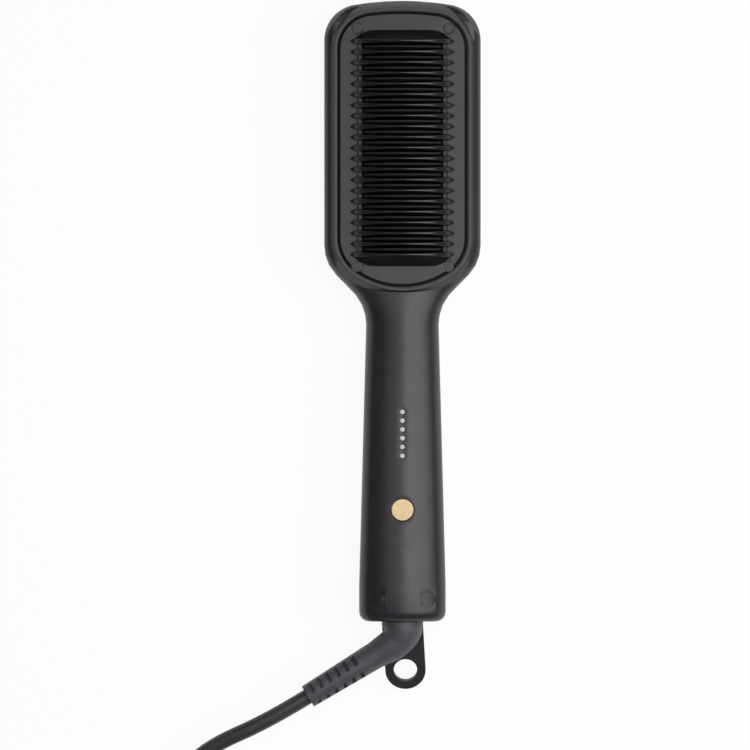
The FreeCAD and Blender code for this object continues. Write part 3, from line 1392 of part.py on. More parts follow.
def main():
    """Build every piece and write it."""
    os.makedirs("parts", exist_ok=True)
    outer = outer_form()
    cavity = cavity_form()
    write("front_shell", front_shell(outer, cavity))
    write("back_shell", back_shell(outer, cavity))
    write("comb_cover", comb_cover())
    write("heater_plate", heater_plate())
    write("heater_elements", heater_elements())
    write("mica_sheet", mica_sheet())
    write("heater_clamp", heater_clamp())
    write("heater_tray", heater_tray())
    write("thermistor", sensor(SENSOR_RADIUS, SENSOR_LENGTH, -SENSOR_OFFSET))
    write("thermal_fuse", sensor(FUSE_RADIUS, FUSE_LENGTH, SENSOR_OFFSET))
    write("heater_leads", heater_leads())
    write("cover_screws", cover_screws())
    write("cover_screw_plugs", cover_plugs())
    write("tray_screws", tray_screws())
    write("grip_screws", grip_screws())
    write("grip_screw_plugs", grip_plugs(outer))
    write("board_screws", board_screws())
    write("control_board", control_board())
    write("triac", triac())
    write("microcontroller", microcontroller())
    write("film_capacitor", film_capacitor())
    write("reservoir_capacitor", reservoir_capacitor())
    write("status_leds", status_leds())
    write("light_guide", light_guide(outer))
    write("switch_body", switch_body())
    write("switch_plunger", switch_plunger())
    write("button_cap", button_cap())
    write("contact_block", contact_block())
    write("contact_strips", contact_strips())
    write("mains_leads", mains_leads())
    write("swivel_collar", swivel_collar())
    write("slip_rings", slip_rings())
    write("hang_loop", hang_loop())
    write("strain_relief_boot", strain_relief_boot())
    write("cord_lead", tube(lead_points(), CORD_RADIUS, "lead"))
    write("cord_coil", cord_coil())
    write("cord_tail", tube(TAIL_POINTS, CORD_RADIUS, "tail"))
    write("cord_tie", cord_tie())
    write("plug_body", plug_body())
    write("plug_pins", plug_pins())


if __name__ == "__main__":
    main()
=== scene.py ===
"""Dresses the heated comb brush: its finishes, its flexible lead and the studio that it lies in.

Lengths are written in millimetres and turned to metres where Blender needs them.
"""
import logging
import math
from abc import ABC, abstractmethod
from dataclasses import dataclass, field, replace
from enum import Enum
from typing import Any, Callable

import bmesh
import bpy
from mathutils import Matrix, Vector


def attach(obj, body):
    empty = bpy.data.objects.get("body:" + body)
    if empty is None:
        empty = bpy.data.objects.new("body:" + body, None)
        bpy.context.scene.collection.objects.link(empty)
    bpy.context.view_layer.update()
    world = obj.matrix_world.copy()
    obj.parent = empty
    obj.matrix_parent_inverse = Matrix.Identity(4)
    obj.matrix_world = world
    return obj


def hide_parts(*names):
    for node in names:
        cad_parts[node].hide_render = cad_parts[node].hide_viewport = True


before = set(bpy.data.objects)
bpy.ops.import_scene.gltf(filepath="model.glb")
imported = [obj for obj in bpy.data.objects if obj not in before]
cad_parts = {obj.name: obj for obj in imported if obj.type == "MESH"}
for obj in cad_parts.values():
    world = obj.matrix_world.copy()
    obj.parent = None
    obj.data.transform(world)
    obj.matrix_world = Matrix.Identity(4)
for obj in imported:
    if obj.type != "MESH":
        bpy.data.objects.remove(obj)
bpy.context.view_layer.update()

MM = 0.001
EDGES_ONLY = (False, True, False)  # of vertices, edges and faces, what can be selected
JOIN_DISTANCE = 2e-6  # points that are nearer to each other than this, in metres, become one
SLIVER_LENGTH = 1e-6  # edges shorter than this, in metres, count as nothing
NOISE_ROUGHNESS = 0.55  # how much the finer layers of a cloudy pattern count
RING_SCALE = 0.314  # the scale at which a wave texture has one ring to each unit

# Types by short names.
Pair, Point = tuple[float, float], tuple[float, float, float]
Tree, Node, Socket, Piece = (bpy.types.NodeTree, bpy.types.Node, bpy.types.NodeSocket,
                             bpy.types.Object)

log = logging.getLogger("brush")


class Body(Enum):
    """The bodies that a piece can ride on."""

    HANDSET = "handset"
    BUTTON = "power_button"
    SWIVEL = "cord_swivel"


class Colour(Enum):
    """Every colour of the brush and its studio, as sRGB hex."""

    HOUSING = "#282329"
    HOUSING_WORN = "#2d282f"
    COMB = "#211e23"
    COMB_WORN = "#262428"
    # painted shade: the bars' colour, darker than the plate's, stands for the shade that falls
    # between the bars
    BAR = "#1a181c"
    CAP = "#201e22"
    HEATER_COAT = "#2a282c"
    HEATER_SPECK = "#343136"
    GOLD = "#c1ad8b"
    GOLD_LOW = "#b9a37e"
    WINDOW = "#f4f4f6"
    LAMP = "#f1ead2"
    RUBBER = "#514e54"
    RUBBER_LOW = "#474449"
    CORD = "#3c393e"
    CORD_LOW = "#343236"
    STRAP = "#26252a"
    STRAP_LOW = "#17161a"
    STEEL = "#a8abad"
    STEEL_LOW = "#85888b"
    BRASS = "#c9a45a"
    BRASS_LOW = "#a98743"
    CERAMIC = "#e3ddd0"
    CERAMIC_SPECK = "#c9bfae"
    MICA = "#b8a887"
    MICA_LOW = "#8f7f60"
    TRAY = "#a3977c"
    TRAY_LOW = "#8d8168"
    SOLDER_MASK = "#0f4a24"
    COPPER_TRACK = "#1d6a36"
    EPOXY = "#17171a"
    EPOXY_LOW = "#232327"
    FILM_BOX = "#c99322"
    FILM_BOX_LOW = "#b17f17"
    NYLON = "#d8d4c8"
    NYLON_LOW = "#c4bfb1"
    SLEEVE = "#cdcac3"
    SLEEVE_LOW = "#b5b2aa"
    GLASS = "#e8d9c2"
    WHITE = "#ffffff"


def linear(colour: Colour) -> tuple[float, float, float, float]:
    """Turns an sRGB hex colour to the linear colour that a shader reads, by the standard's curve.

    Args:
        colour: the colour as a designer would write it.

    Returns:
        Red, green, blue and a full alpha, each from 0 to 1.
    """
    channels = [int(colour.value[place:place + 2], 16) / 255 for place in (1, 3, 5)]
    red, green, blue = (value / 12.92 if value <= 0.04045 else ((value + 0.055) / 1.055) ** 2.4
                        for value in channels)
    return red, green, blue, 1.0


def add_node(tree: Tree, kind: str, settings: dict[Any, Any], links: dict[Any, Socket]) -> Node:
    """Adds one node with its settings and links.

    Args:
        tree: the material's node tree.
        kind: Blender's name for the node.
        settings: values by input name or number, or by the name of one of the node's own options.
        links: the sockets that feed it, by input name or number.

    Returns:
        The new node.
    """
    node = tree.nodes.new(kind)
    for name, value in settings.items():
        if isinstance(name, int) or name in node.inputs:
            node.inputs[name].default_value = value
        else:
            setattr(node, name, value)
    for name, socket in links.items():
        tree.links.new(socket, node.inputs[name])
    return node


# ---- finishes

@dataclass(frozen=True)
class Canvas:
    """The nodes of one material, for a finish to fill in.

    Attributes:
        tree: the node tree.
        shader: the surface shader.
        place: a point's place on the object, in metres.
    """

    tree: Tree
    shader: Node
    place: Socket

    def noise(self, size_mm: float, detail: float = 2.0) -> Socket:
        """Adds a cloudy pattern.

        Args:
            size_mm: the real size of one speck or cloud.
            detail: how many finer layers it has.

        Returns:
            The pattern's value, from 0 to 1.
        """
        settings = {"Scale": 1 / (size_mm * MM), "Detail": detail, "Roughness": NOISE_ROUGHNESS}
        links = {"Vector": self.place}
        return add_node(self.tree, "ShaderNodeTexNoise", settings, links).outputs["Fac"]


@dataclass(frozen=True)
class Finish(ABC):
    """A material of the real brush and the way that its surface was made.

    Attributes:
        name: the material's name.
        colour: the colour of most of it.
        second_colour: the colour of its clouds, specks or lines.
        roughness: the middle of its roughness.
        ior: its index of refraction.
        blend: the pattern's values that give the first and the second colour.
        gloss_spread: the most that the roughness departs from its middle.
        relief_mm: the height between the lowest and the highest place of the relief.
        relief_strength: how much of the relief shows.
    """

    name: str
    colour: Colour
    second_colour: Colour
    roughness: float
    ior: float = 1.5
    blend: Pair = (0.3, 0.75)
    gloss_spread: float = 0.06
    relief_mm: float = 0.02
    relief_strength: float = 1.0

    def build(self) -> bpy.types.Material:
        """Makes the Blender material.

        Returns:
            A node material with the finish's colour, gloss and relief.
        """
        material = bpy.data.materials.new(self.name)
        material.use_nodes = True
        tree = material.node_tree
        shader = tree.nodes["Principled BSDF"]
        shader.inputs["IOR"].default_value = self.ior
        place = add_node(tree, "ShaderNodeTexCoord", {}, {}).outputs["Object"]
        self.dress(Canvas(tree, shader, place))
        return material

    @abstractmethod
    def dress(self, canvas: Canvas) -> None:
        """Adds the patterns of this finish.

        Args:
            canvas: the nodes to fill in.
        """

    def steer(self, canvas: Canvas, colour: Socket, gloss: Socket, height: Socket) -> None:
        """Lets three patterns steer the surface.

        Args:
            canvas: the nodes to fill in.
            colour: the pattern that mixes the two colours.
            gloss: the pattern that makes the gloss differ a little from place to place.
            height: the pattern of the relief.
        """
        tree, inputs = canvas.tree, canvas.shader.inputs
        ramp = add_node(tree, "ShaderNodeValToRGB", {}, {"Fac": colour})
        ends = zip(ramp.color_ramp.elements, self.blend, (self.colour, self.second_colour))
        for end, position, tint in ends:
            end.position, end.color = position, linear(tint)
        tree.links.new(ramp.outputs["Color"], inputs["Base Color"])
        settings = {"To Min": self.roughness - self.gloss_spread,
                    "To Max": self.roughness + self.gloss_spread}
        rough = add_node(tree, "ShaderNodeMapRange", settings, {"Value": gloss})
        tree.links.new(rough.outputs["Result"], inputs["Roughness"])
        settings = {"Strength": self.relief_strength, "Distance": self.relief_mm * MM}
        bump = add_node(tree, "ShaderNodeBump", settings, {"Height": height})
        tree.links.new(bump.outputs["Normal"], inputs["Normal"])


@dataclass(frozen=True)
class MouldedPlastic(Finish):
    """Injection-moulded plastic from a spark-eroded mould: a fine even grain and a soft sheen."""

    blend: Pair = (0.35, 0.75)
    gloss_spread: float = 0.04
    relief_mm: float = 0.012
    grain_mm: float = 0.35
    cloud_mm: float = 18.0
    sheen_mm: float = 6.0

    def dress(self, canvas: Canvas) -> None:
        """Adds the mould's grain, faint flow clouds and an uneven sheen.

        Args:
            canvas: the nodes to fill in.
        """
        clouds, sheen, grain = (canvas.noise(size)
                                for size in (self.cloud_mm, self.sheen_mm, self.grain_mm))
        self.steer(canvas, clouds, sheen, grain)


@dataclass(frozen=True)
class CombPlastic(MouldedPlastic):
    """One moulding whose mould is spark-eroded for the plate and polished for the bars on it; the
    bars' darker colour is painted shade between them.
    """

    bar_shade_colour: Colour = Colour.BAR
    bar_roughness: float = 0.27
    plate_top_mm: float = 27.6
    step_mm: float = 0.1

    def dress(self, canvas: Canvas) -> None:
        """Adds the satin of the plate and, above it, the bars' gloss and a darker colour that is
        painted shade between the bars.

        Args:
            canvas: the nodes to fill in.
        """
        super().dress(canvas)
        tree, inputs = canvas.tree, canvas.shader.inputs
        height = add_node(tree, "ShaderNodeSeparateXYZ", {}, {0: canvas.place}).outputs["Z"]
        settings = {"From Min": self.plate_top_mm * MM,
                    "From Max": (self.plate_top_mm + self.step_mm) * MM}
        on_bar = add_node(tree, "ShaderNodeMapRange", settings, {"Value": height}).outputs["Result"]
        below = inputs["Base Color"].links[0].from_socket
        # painted shade: above the plate the colour turns to the darker bar colour, for the shade
        # between the bars
        colour = add_node(tree, "ShaderNodeMix", {"data_type": "RGBA", 7: linear(self.bar_shade_colour)},
                          {0: on_bar, 6: below})
        tree.links.new(colour.outputs[2], inputs["Base Color"])
        below = inputs["Roughness"].links[0].from_socket
        rough = add_node(tree, "ShaderNodeMix", {3: self.bar_roughness}, {0: on_bar, 2: below})
        tree.links.new(rough.outputs[0], inputs["Roughness"])


@dataclass(frozen=True)
class CeramicCoat(Finish):
    """Ceramic or stone with a speckled skin, such as a coat that is sprayed on and baked."""

    blend: Pair = (0.5, 0.72)
    speck_mm: float = 0.4
    speck_detail: float = 4.0
    bump_in_specks: float = 3.0

    def dress(self, canvas: Canvas) -> None:
        """Adds specks of the second colour and an orange-peel relief.

        Args:
            canvas: the nodes to fill in.
        """
        specks = canvas.noise(self.speck_mm, self.speck_detail)
        bumps = canvas.noise(self.speck_mm * self.bump_in_specks)
        self.steer(canvas, specks, specks, bumps)


@dataclass(frozen=True)
class SpunMetal(Finish):
    """Anodised aluminium with the fine rings that a facing tool leaves round its middle."""

    blend: Pair = (0.3, 0.8)
    gloss_spread: float = 0.05
    relief_mm: float = 0.004
    centre_mm: Pair = (0.0, 0.0)
    ring_mm: float = 0.22
    ring_waver: float = 0.6
    ring_detail: float = 2.0
    cloud_mm: float = 3.0

    def dress(self, canvas: Canvas) -> None:
        """Adds rings round the button's middle.

        Args:
            canvas: the nodes to fill in.
        """
        canvas.shader.inputs["Metallic"].default_value = 1.0
        shift = (-self.centre_mm[0] * MM, -self.centre_mm[1] * MM, 0.0)
        settings = {"Location": shift, "Scale": (1.0, 1.0, 0.0)}
        centred = add_node(canvas.tree, "ShaderNodeMapping", settings, {"Vector": canvas.place})
        settings = {"wave_type": "RINGS", "rings_direction": "Z",
                    "Scale": RING_SCALE / (self.ring_mm * MM),
                    "Distortion": self.ring_waver, "Detail": self.ring_detail}
        wave = add_node(canvas.tree, "ShaderNodeTexWave", settings,
                        {"Vector": centred.outputs["Vector"]})
        rings = wave.outputs["Fac"]
        self.steer(canvas, canvas.noise(self.cloud_mm), rings, rings)


@dataclass(frozen=True)
class DrawnMetal(Finish):
    """Drawn or plated metal with fine lines in its working direction."""

    gloss_spread: float = 0.07
    relief_mm: float = 0.004
    line_mm: float = 0.15
    line_detail: float = 3.0
    stretch: Point = (1.0, 0.04, 1.0)

    def dress(self, canvas: Canvas) -> None:
        """Adds long fine lines to the colour, gloss and relief.

        Args:
            canvas: the nodes to fill in.
        """
        canvas.shader.inputs["Metallic"].default_value = 1.0
        drawn = add_node(canvas.tree, "ShaderNodeMapping", {"Scale": self.stretch},
                         {"Vector": canvas.place}).outputs["Vector"]
        lines = replace(canvas, place=drawn).noise(self.line_mm, self.line_detail)
        self.steer(canvas, lines, lines, lines)


@dataclass(frozen=True)
class SoftRubber(Finish):
    """A soft moulded or extruded sheath: matt, with a faint bloom and fine pores."""

    pore_mm: float = 0.5
    pore_detail: float = 3.0
    cloud_mm: float = 9.0
    mark_mm: float = 4.0
    bloom: float = 0.12
    bloom_roughness: float = 0.45

    def dress(self, canvas: Canvas) -> None:
        """Adds the bloom, the pores and uneven handling marks.

        Args:
            canvas: the nodes to fill in.
        """
        canvas.shader.inputs["Sheen Weight"].default_value = self.bloom
        canvas.shader.inputs["Sheen Roughness"].default_value = self.bloom_roughness
        clouds, marks = (canvas.noise(size) for size in (self.cloud_mm, self.mark_mm))
        pores = canvas.noise(self.pore_mm, self.pore_detail)
        self.steer(canvas, clouds, marks, pores)


@dataclass(frozen=True)
class FrostedWindow(Finish):
    """A clear body with a frosted face: light passes, and what is behind it can't be made out."""

    blend: Pair = (0.3, 0.8)
    gloss_spread: float = 0.08
    relief_mm: float = 0.006
    clearness: float = 0.35
    frost_mm: float = 0.25

    def dress(self, canvas: Canvas) -> None:
        """Adds a partly clear body and a frosted relief.

        Args:
            canvas: the nodes to fill in.
        """
        canvas.shader.inputs["Transmission Weight"].default_value = self.clearness
        frost = canvas.noise(self.frost_mm)
        self.steer(canvas, frost, frost, frost)


@dataclass(frozen=True)
class WovenStrap(Finish):
    """A hook-and-loop strap: close cross threads under a short fuzz."""

    blend: Pair = (0.1, 0.7)
    gloss_spread: float = 0.04
    relief_mm: float = 0.15
    thread_mm: float = 0.7
    unevenness: float = 0.25
    fuzz: float = 0.35

    def dress(self, canvas: Canvas) -> None:
        """Adds crossing threads and the fuzz's sheen.

        Args:
            canvas: the nodes to fill in.
        """
        canvas.shader.inputs["Sheen Weight"].default_value = self.fuzz
        settings = {"Scale": 1 / (self.thread_mm * MM), "Randomness": self.unevenness}
        weave = add_node(canvas.tree, "ShaderNodeTexVoronoi", settings, {"Vector": canvas.place})
        threads = weave.outputs["Distance"]
        self.steer(canvas, threads, threads, threads)


@dataclass(frozen=True)
class SolderMask(Finish):
    """A circuit board's lacquer over copper tracks that run along and across it."""

    blend: Pair = (0.06, 0.09)
    gloss_spread: float = 0.05
    relief_mm: float = 0.05
    relief_strength: float = 0.4
    track_mm: float = 1.3
    pad_in_tracks: float = 4.0
    disorder: float = 0.8
    sheen_mm: float = 5.0

    def dress(self, canvas: Canvas) -> None:
        """Adds the tracks' colour and relief under the lacquer.

        Args:
            canvas: the nodes to fill in.
        """
        settings = {"Scale": 1 / (self.track_mm * MM * self.pad_in_tracks), "distance": "MANHATTAN",
                    "Randomness": self.disorder, "feature": "DISTANCE_TO_EDGE"}
        fields = add_node(canvas.tree, "ShaderNodeTexVoronoi", settings, {"Vector": canvas.place})
        tracks = fields.outputs["Distance"]
        self.steer(canvas, tracks, canvas.noise(self.sheen_mm), tracks)


# The finishes of the brush, each with what its material and process give the eye.  Grain sizes are
# a little coarser than the real ones, so that they show.

# ABS from a spark-eroded mould: a dark satin that draws every highlight out to a soft band.
HOUSING = MouldedPlastic("abs_satin_moulded", Colour.HOUSING, Colour.HOUSING_WORN, 0.36)
# Glass-filled PBT for the heater's warmth: a blacker, drier plate, with a polish on its bars, whose
# darker colour is painted shade between them.
COMB = CombPlastic("pbt_comb_moulded", Colour.COMB, Colour.COMB_WORN, 0.36, grain_mm=0.3)
# Moulded nylon: as dark as the housing, but duller, so that its rim shows as a soft line.
LOOP = MouldedPlastic("nylon_loop_moulded", Colour.HOUSING_WORN, Colour.HOUSING, 0.45)
# Turned acetal: close and black, with a waxy half gloss.
COLLAR = MouldedPlastic("acetal_collar_turned", Colour.CAP, Colour.COMB, 0.4)
# ABS caps from a mould of their own: darker than what is round them, so that each reads as a dot.
CAPS = MouldedPlastic("abs_caps_moulded", Colour.CAP, Colour.HOUSING, 0.38)
# A ceramic coat sprayed on the cast heater and baked: dry and nearly black, with paler specks.
HEATER_COAT = CeramicCoat("ceramic_coat_black", Colour.HEATER_COAT, Colour.HEATER_SPECK, 0.8,
                          ior=1.3)
# Aluminium faced on a lathe and anodised: a pale warm gold whose rings turn the light to a streak.
BUTTON_GOLD = SpunMetal("aluminium_anodised_gold", Colour.GOLD, Colour.GOLD_LOW, 0.42,
                        centre_mm=(0.0, -68.2))
# Frosted polycarbonate: a milky white spot, with no lamp to be made out behind it.
WINDOW = FrostedWindow("polycarbonate_frosted", Colour.WINDOW, Colour.WHITE, 0.35, ior=1.58)
# A cast epoxy lens: warm white, with a small sharp highlight.
LAMP = MouldedPlastic("epoxy_lamp_lens", Colour.LAMP, Colour.WHITE, 0.25)
# Moulded soft elastomer: a matt grey that gets paler where its bloom catches the light.
BOOT_RUBBER = SoftRubber("tpe_boot_moulded", Colour.RUBBER, Colour.RUBBER_LOW, 0.5)
# Extruded PVC: darker and closer than the boot, with one soft line of light along it.
CORD_RUBBER = SoftRubber("pvc_sheath_extruded", Colour.CORD, Colour.CORD_LOW, 0.46, pore_mm=0.8)
# Woven nylon with a cut pile: black, without gloss, with a pale fuzz at its edges.
STRAP = WovenStrap("nylon_strap_woven", Colour.STRAP, Colour.STRAP_LOW, 0.8)
# Zinc-plated steel: a cool grey with fine lines across its shine.
STEEL = DrawnMetal("steel_zinc_plated", Colour.STEEL, Colour.STEEL_LOW, 0.35)
# Drawn brass: yellow, with a shine that runs along the strip.
BRASS = DrawnMetal("brass_drawn", Colour.BRASS, Colour.BRASS_LOW, 0.3, stretch=(0.04, 1.0, 1.0))
# Fired alumina: chalky and dry, with faint darker specks.
CERAMIC = CeramicCoat("alumina_fired", Colour.CERAMIC, Colour.CERAMIC_SPECK, 0.7)
# Pressed mica: a tan sheet with large flakes that shine a little.
MICA = CeramicCoat("mica_pressed", Colour.MICA, Colour.MICA_LOW, 0.35, speck_mm=1.5)
# Moulded PPS: the dull tan of baked clay.
TRAY = MouldedPlastic("pps_tray_moulded", Colour.TRAY, Colour.TRAY_LOW, 0.55)
# Solder mask over etched copper: a shiny green with paler lines where the tracks run.
BOARD = SolderMask("board_solder_mask", Colour.COPPER_TRACK, Colour.SOLDER_MASK, 0.35)
# Moulded epoxy: the dull black of a chip's case.
EPOXY = MouldedPlastic("epoxy_moulded", Colour.EPOXY, Colour.EPOXY_LOW, 0.5)
# A moulded box full of potting: plain amber with a soft sheen.
FILM_BOX = MouldedPlastic("film_capacitor_case", Colour.FILM_BOX, Colour.FILM_BOX_LOW, 0.4)
# Uncoloured moulded nylon: off-white, with a slightly greasy half gloss.
NYLON = MouldedPlastic("nylon_moulded", Colour.NYLON, Colour.NYLON_LOW, 0.45)
# Extruded silicone: pale and matt, with a dusty bloom.
SLEEVE = SoftRubber("silicone_sleeve", Colour.SLEEVE, Colour.SLEEVE_LOW, 0.55)
# Drawn glass: a small, partly clear bead with a warm cast.
GLASS_BEAD = FrostedWindow("glass_bead_drawn", Colour.GLASS, Colour.CERAMIC, 0.2)

# The solids that stay as they are and only get a finish.
INNER_FINISHES: dict[str, Finish] = {
    "heater_plate": HEATER_COAT, "heater_elements": CERAMIC, "mica_sheet": MICA,
    "heater_clamp": STEEL, "heater_tray": TRAY, "thermistor": GLASS_BEAD, "thermal_fuse": STEEL,
    "heater_leads": SLEEVE, "mains_leads": SLEEVE, "cover_screws": STEEL, "tray_screws": STEEL,
    "grip_screws": STEEL, "board_screws": STEEL, "control_board": BOARD, "triac": EPOXY,
    "microcontroller": EPOXY, "film_capacitor": FILM_BOX, "reservoir_capacitor": EPOXY,
    "status_leds": LAMP, "switch_body": EPOXY, "switch_plunger": NYLON, "contact_block": NYLON,
    "contact_strips": BRASS, "slip_rings": BRASS,
}


# ---- helpers

def dress(piece: Piece, finish: Finish) -> None:
    """Gives a piece its finish.

    Args:
        piece: the object to dress.
        finish: what it is made of.
    """
    material = bpy.data.materials.get(finish.name) or finish.build()
    if not piece.data.materials:
        piece.data.materials.append(material)
    for place in piece.material_slots:
        place.material = material


def activate(piece: Piece) -> None:
    """Makes one object the only selected and active one.

    Args:
        piece: the object that the next operators work on.
    """
    bpy.ops.object.select_all(action="DESELECT")
    piece.select_set(True)
    bpy.context.view_layer.objects.active = piece


def edit(piece: Piece) -> None:
    """Opens one object in edit mode, with its edges to select.

    Args:
        piece: the object to open.
    """
    activate(piece)
    bpy.ops.object.mode_set(mode="EDIT")
    bpy.context.tool_settings.mesh_select_mode = EDGES_ONLY


def select_edges(piece: Piece, wanted: Callable[[bmesh.types.BMEdge], bool]) -> int:
    """Selects the edges of the open object that a test picks out.

    Args:
        piece: the object in edit mode.
        wanted: says whether an edge is picked.

    Returns:
        How many edges are selected.
    """
    mesh = bmesh.from_edit_mesh(piece.data)
    for element in (*mesh.verts, *mesh.edges, *mesh.faces):
        element.select = False
    chosen = [edge for edge in mesh.edges if len(edge.link_faces) == 2 and wanted(edge)]
    for edge in chosen:
        edge.select = True
    bmesh.update_edit_mesh(piece.data)
    return len(chosen)


@dataclass(frozen=True)
class Rounding:
    """The radius that a mould or tool leaves on the sharp edges inside one box.

    Attributes:
        radius: the radius, in millimetres.
        low: the box's lower corner; by itself the box holds the brush and its whole lead.
        high: the box's upper corner.
        least_angle: the angle, in degrees, from which an edge counts as sharp.
        steps: how many flats make up the rounding.
    """

    radius: float
    low: Point = (-300.0, -400.0, -10.0)
    high: Point = (300.0, 400.0, 100.0)
    least_angle: float = 38.0
    steps: int = 2

    def picks(self, edge: bmesh.types.BMEdge) -> bool:
        """Says whether an edge is sharp and inside the box.

        Args:
            edge: an edge of the open mesh, in metres.

        Returns:
            True for an edge to round.
        """
        middle = (edge.verts[0].co + edge.verts[1].co) / 2 / MM
        inside = all(low <= value <= high for low, value, high in zip(self.low, middle, self.high))
        return inside and math.degrees(edge.calc_face_angle(0.0)) > self.least_angle


@dataclass(frozen=True)
class RoundedEnd:
    """The soft upper edge that runs round the head's end, from one side's to the other's.

    Lengths are in millimetres.

    Attributes:
        half_width: half the head's width.
        end_y: where the head ends.
        end_radius: the radius of the end's long curve, seen from above.
        corner_radius: the radius of the two corners, seen from above.
        crest_height: the height of the bezel's crest.
        crest_inset: how far inside the outline the crest runs.
        slope: how many millimetres the bezel falls for each one outwards.
        run_out: how late the slope turns down to the side; a higher number is later.
        side_height: the height at which the sides begin to turn inwards.
        side_radius: the radius of the sides' upper edge.
        seam_height: the height of the seam, which stays where it is.
        cut_from: where the faces begin that are cut to rows.
        start_y: where the rows begin, and the part of the edge that is lowered.
        reach: how far inside the outline the mesh is cut finer.
        facet_depth: how far inside the outline a point of the outer wall may lie.
        row: the distance between two rows of new points.
        cuts: how many points each edge of a row gets.
    """

    half_width: float = 32.5
    end_y: float = 143.2
    end_radius: float = 120.0
    corner_radius: float = 15.0
    crest_height: float = 28.0
    crest_inset: float = 3.0
    slope: float = 1.5625
    run_out: int = 4
    side_height: float = 21.5
    side_radius: float = 5.0
    seam_height: float = 15.25
    cut_from: float = 0.0
    start_y: float = 126.75
    reach: float = 5.0
    facet_depth: float = 0.1
    row: float = 0.8
    cuts: int = 2

    def inset(self, place: Vector) -> float:
        """Measures how far inside the head's outline a point lies, seen from above.

        Args:
            place: the point, in millimetres.

        Returns:
            The distance to the outline in millimetres.
        """
        across, along = abs(place.x), place.y - self.end_y + self.end_radius
        corner_x = self.half_width - self.corner_radius
        corner_y = math.sqrt((self.end_radius - self.corner_radius) ** 2 - corner_x ** 2)
        angle = math.atan2(along - corner_y, across - corner_x)
        if 0 < angle < math.atan2(corner_y, corner_x):
            return self.corner_radius - math.hypot(along - corner_y, across - corner_x)
        return min(self.half_width - across, self.end_radius - math.hypot(across, along))

    def height(self, inset: float) -> float:
        """Works out the highest point of the round edge.

        Args:
            inset: the distance inside the outline, in millimetres.

        Returns:
            The height in millimetres.
        """
        slope_height = self.crest_height - (self.crest_inset - inset) * self.slope
        drop = self.crest_height - self.crest_inset * self.slope - self.side_height
        return max(self.side_round(inset),
                   slope_height - drop * max(0.0, 1 - inset / self.crest_inset) ** self.run_out)

    def side_round(self, inset: float) -> float:
        """Works out the height of the sides' round edge.

        Args:
            inset: the distance from the side, in millimetres.

        Returns:
            The height in millimetres.
        """
        rest = self.side_radius - min(self.side_radius, max(0.0, inset))
        return self.side_height + math.sqrt(self.side_radius ** 2 - rest ** 2)

    def lowered(self, place: Vector) -> float:
        """Works out the height to which a point comes down.

        Args:
            place: a point of the half, in millimetres.

        Returns:
            Its new height: the outer wall is shortened, the rest stays below the round edge.
        """
        inset = self.inset(place)
        if inset > self.facet_depth:
            return min(place.z, self.height(inset))
        # The wall's old upper edge, as the sides' rounding left it, comes down to side_height.
        rim = self.side_round(self.half_width - abs(place.x))
        share = (place.z - self.seam_height) / (rim - self.seam_height)
        return self.seam_height + share * (self.side_height - self.seam_height)

    def skin(self, mesh: bmesh.types.BMesh, start_y: float) -> list[bmesh.types.BMFace]:
        """Finds the faces outside the crest.

        Args:
            mesh: the half's mesh, in metres.
            start_y: where the faces begin, in millimetres.

        Returns:
            The faces of the outer wall and its round edge.
        """
        return [face for face in mesh.faces
                if all(vert.co.y / MM > start_y and self.inset(vert.co / MM) < self.reach
                       for vert in face.verts)]

    def shape(self, piece: Piece) -> None:
        """Cuts the skin to rows and lowers what stands above the round edge.

        Args:
            piece: the front half.
        """
        mesh = bmesh.new()
        mesh.from_mesh(piece.data)
        for step in range(int((self.end_y - self.start_y) / self.row) + 1):
            faces = self.skin(mesh, self.cut_from)
            edges = {edge for face in faces for edge in face.edges}
            verts = {vert for face in faces for vert in face.verts}
            bmesh.ops.bisect_plane(mesh, geom=[*verts, *edges, *faces], dist=SLIVER_LENGTH,
                                   plane_co=(0, (self.start_y + step * self.row) * MM, 0),
                                   plane_no=(0, 1, 0))
        edges = {edge for face in self.skin(mesh, self.start_y) for edge in face.edges}
        bmesh.ops.subdivide_edges(mesh, edges=list(edges), cuts=self.cuts, use_grid_fill=True)
        bmesh.ops.triangulate(mesh, faces=mesh.faces)
        for vert in mesh.verts:
            if vert.co.y / MM > self.start_y:
                vert.co.z = self.lowered(vert.co / MM) * MM
        bmesh.ops.remove_doubles(mesh, verts=mesh.verts, dist=JOIN_DISTANCE)
        bmesh.ops.dissolve_degenerate(mesh, dist=JOIN_DISTANCE, edges=mesh.edges)
        mesh.to_mesh(piece.data)
        mesh.free()


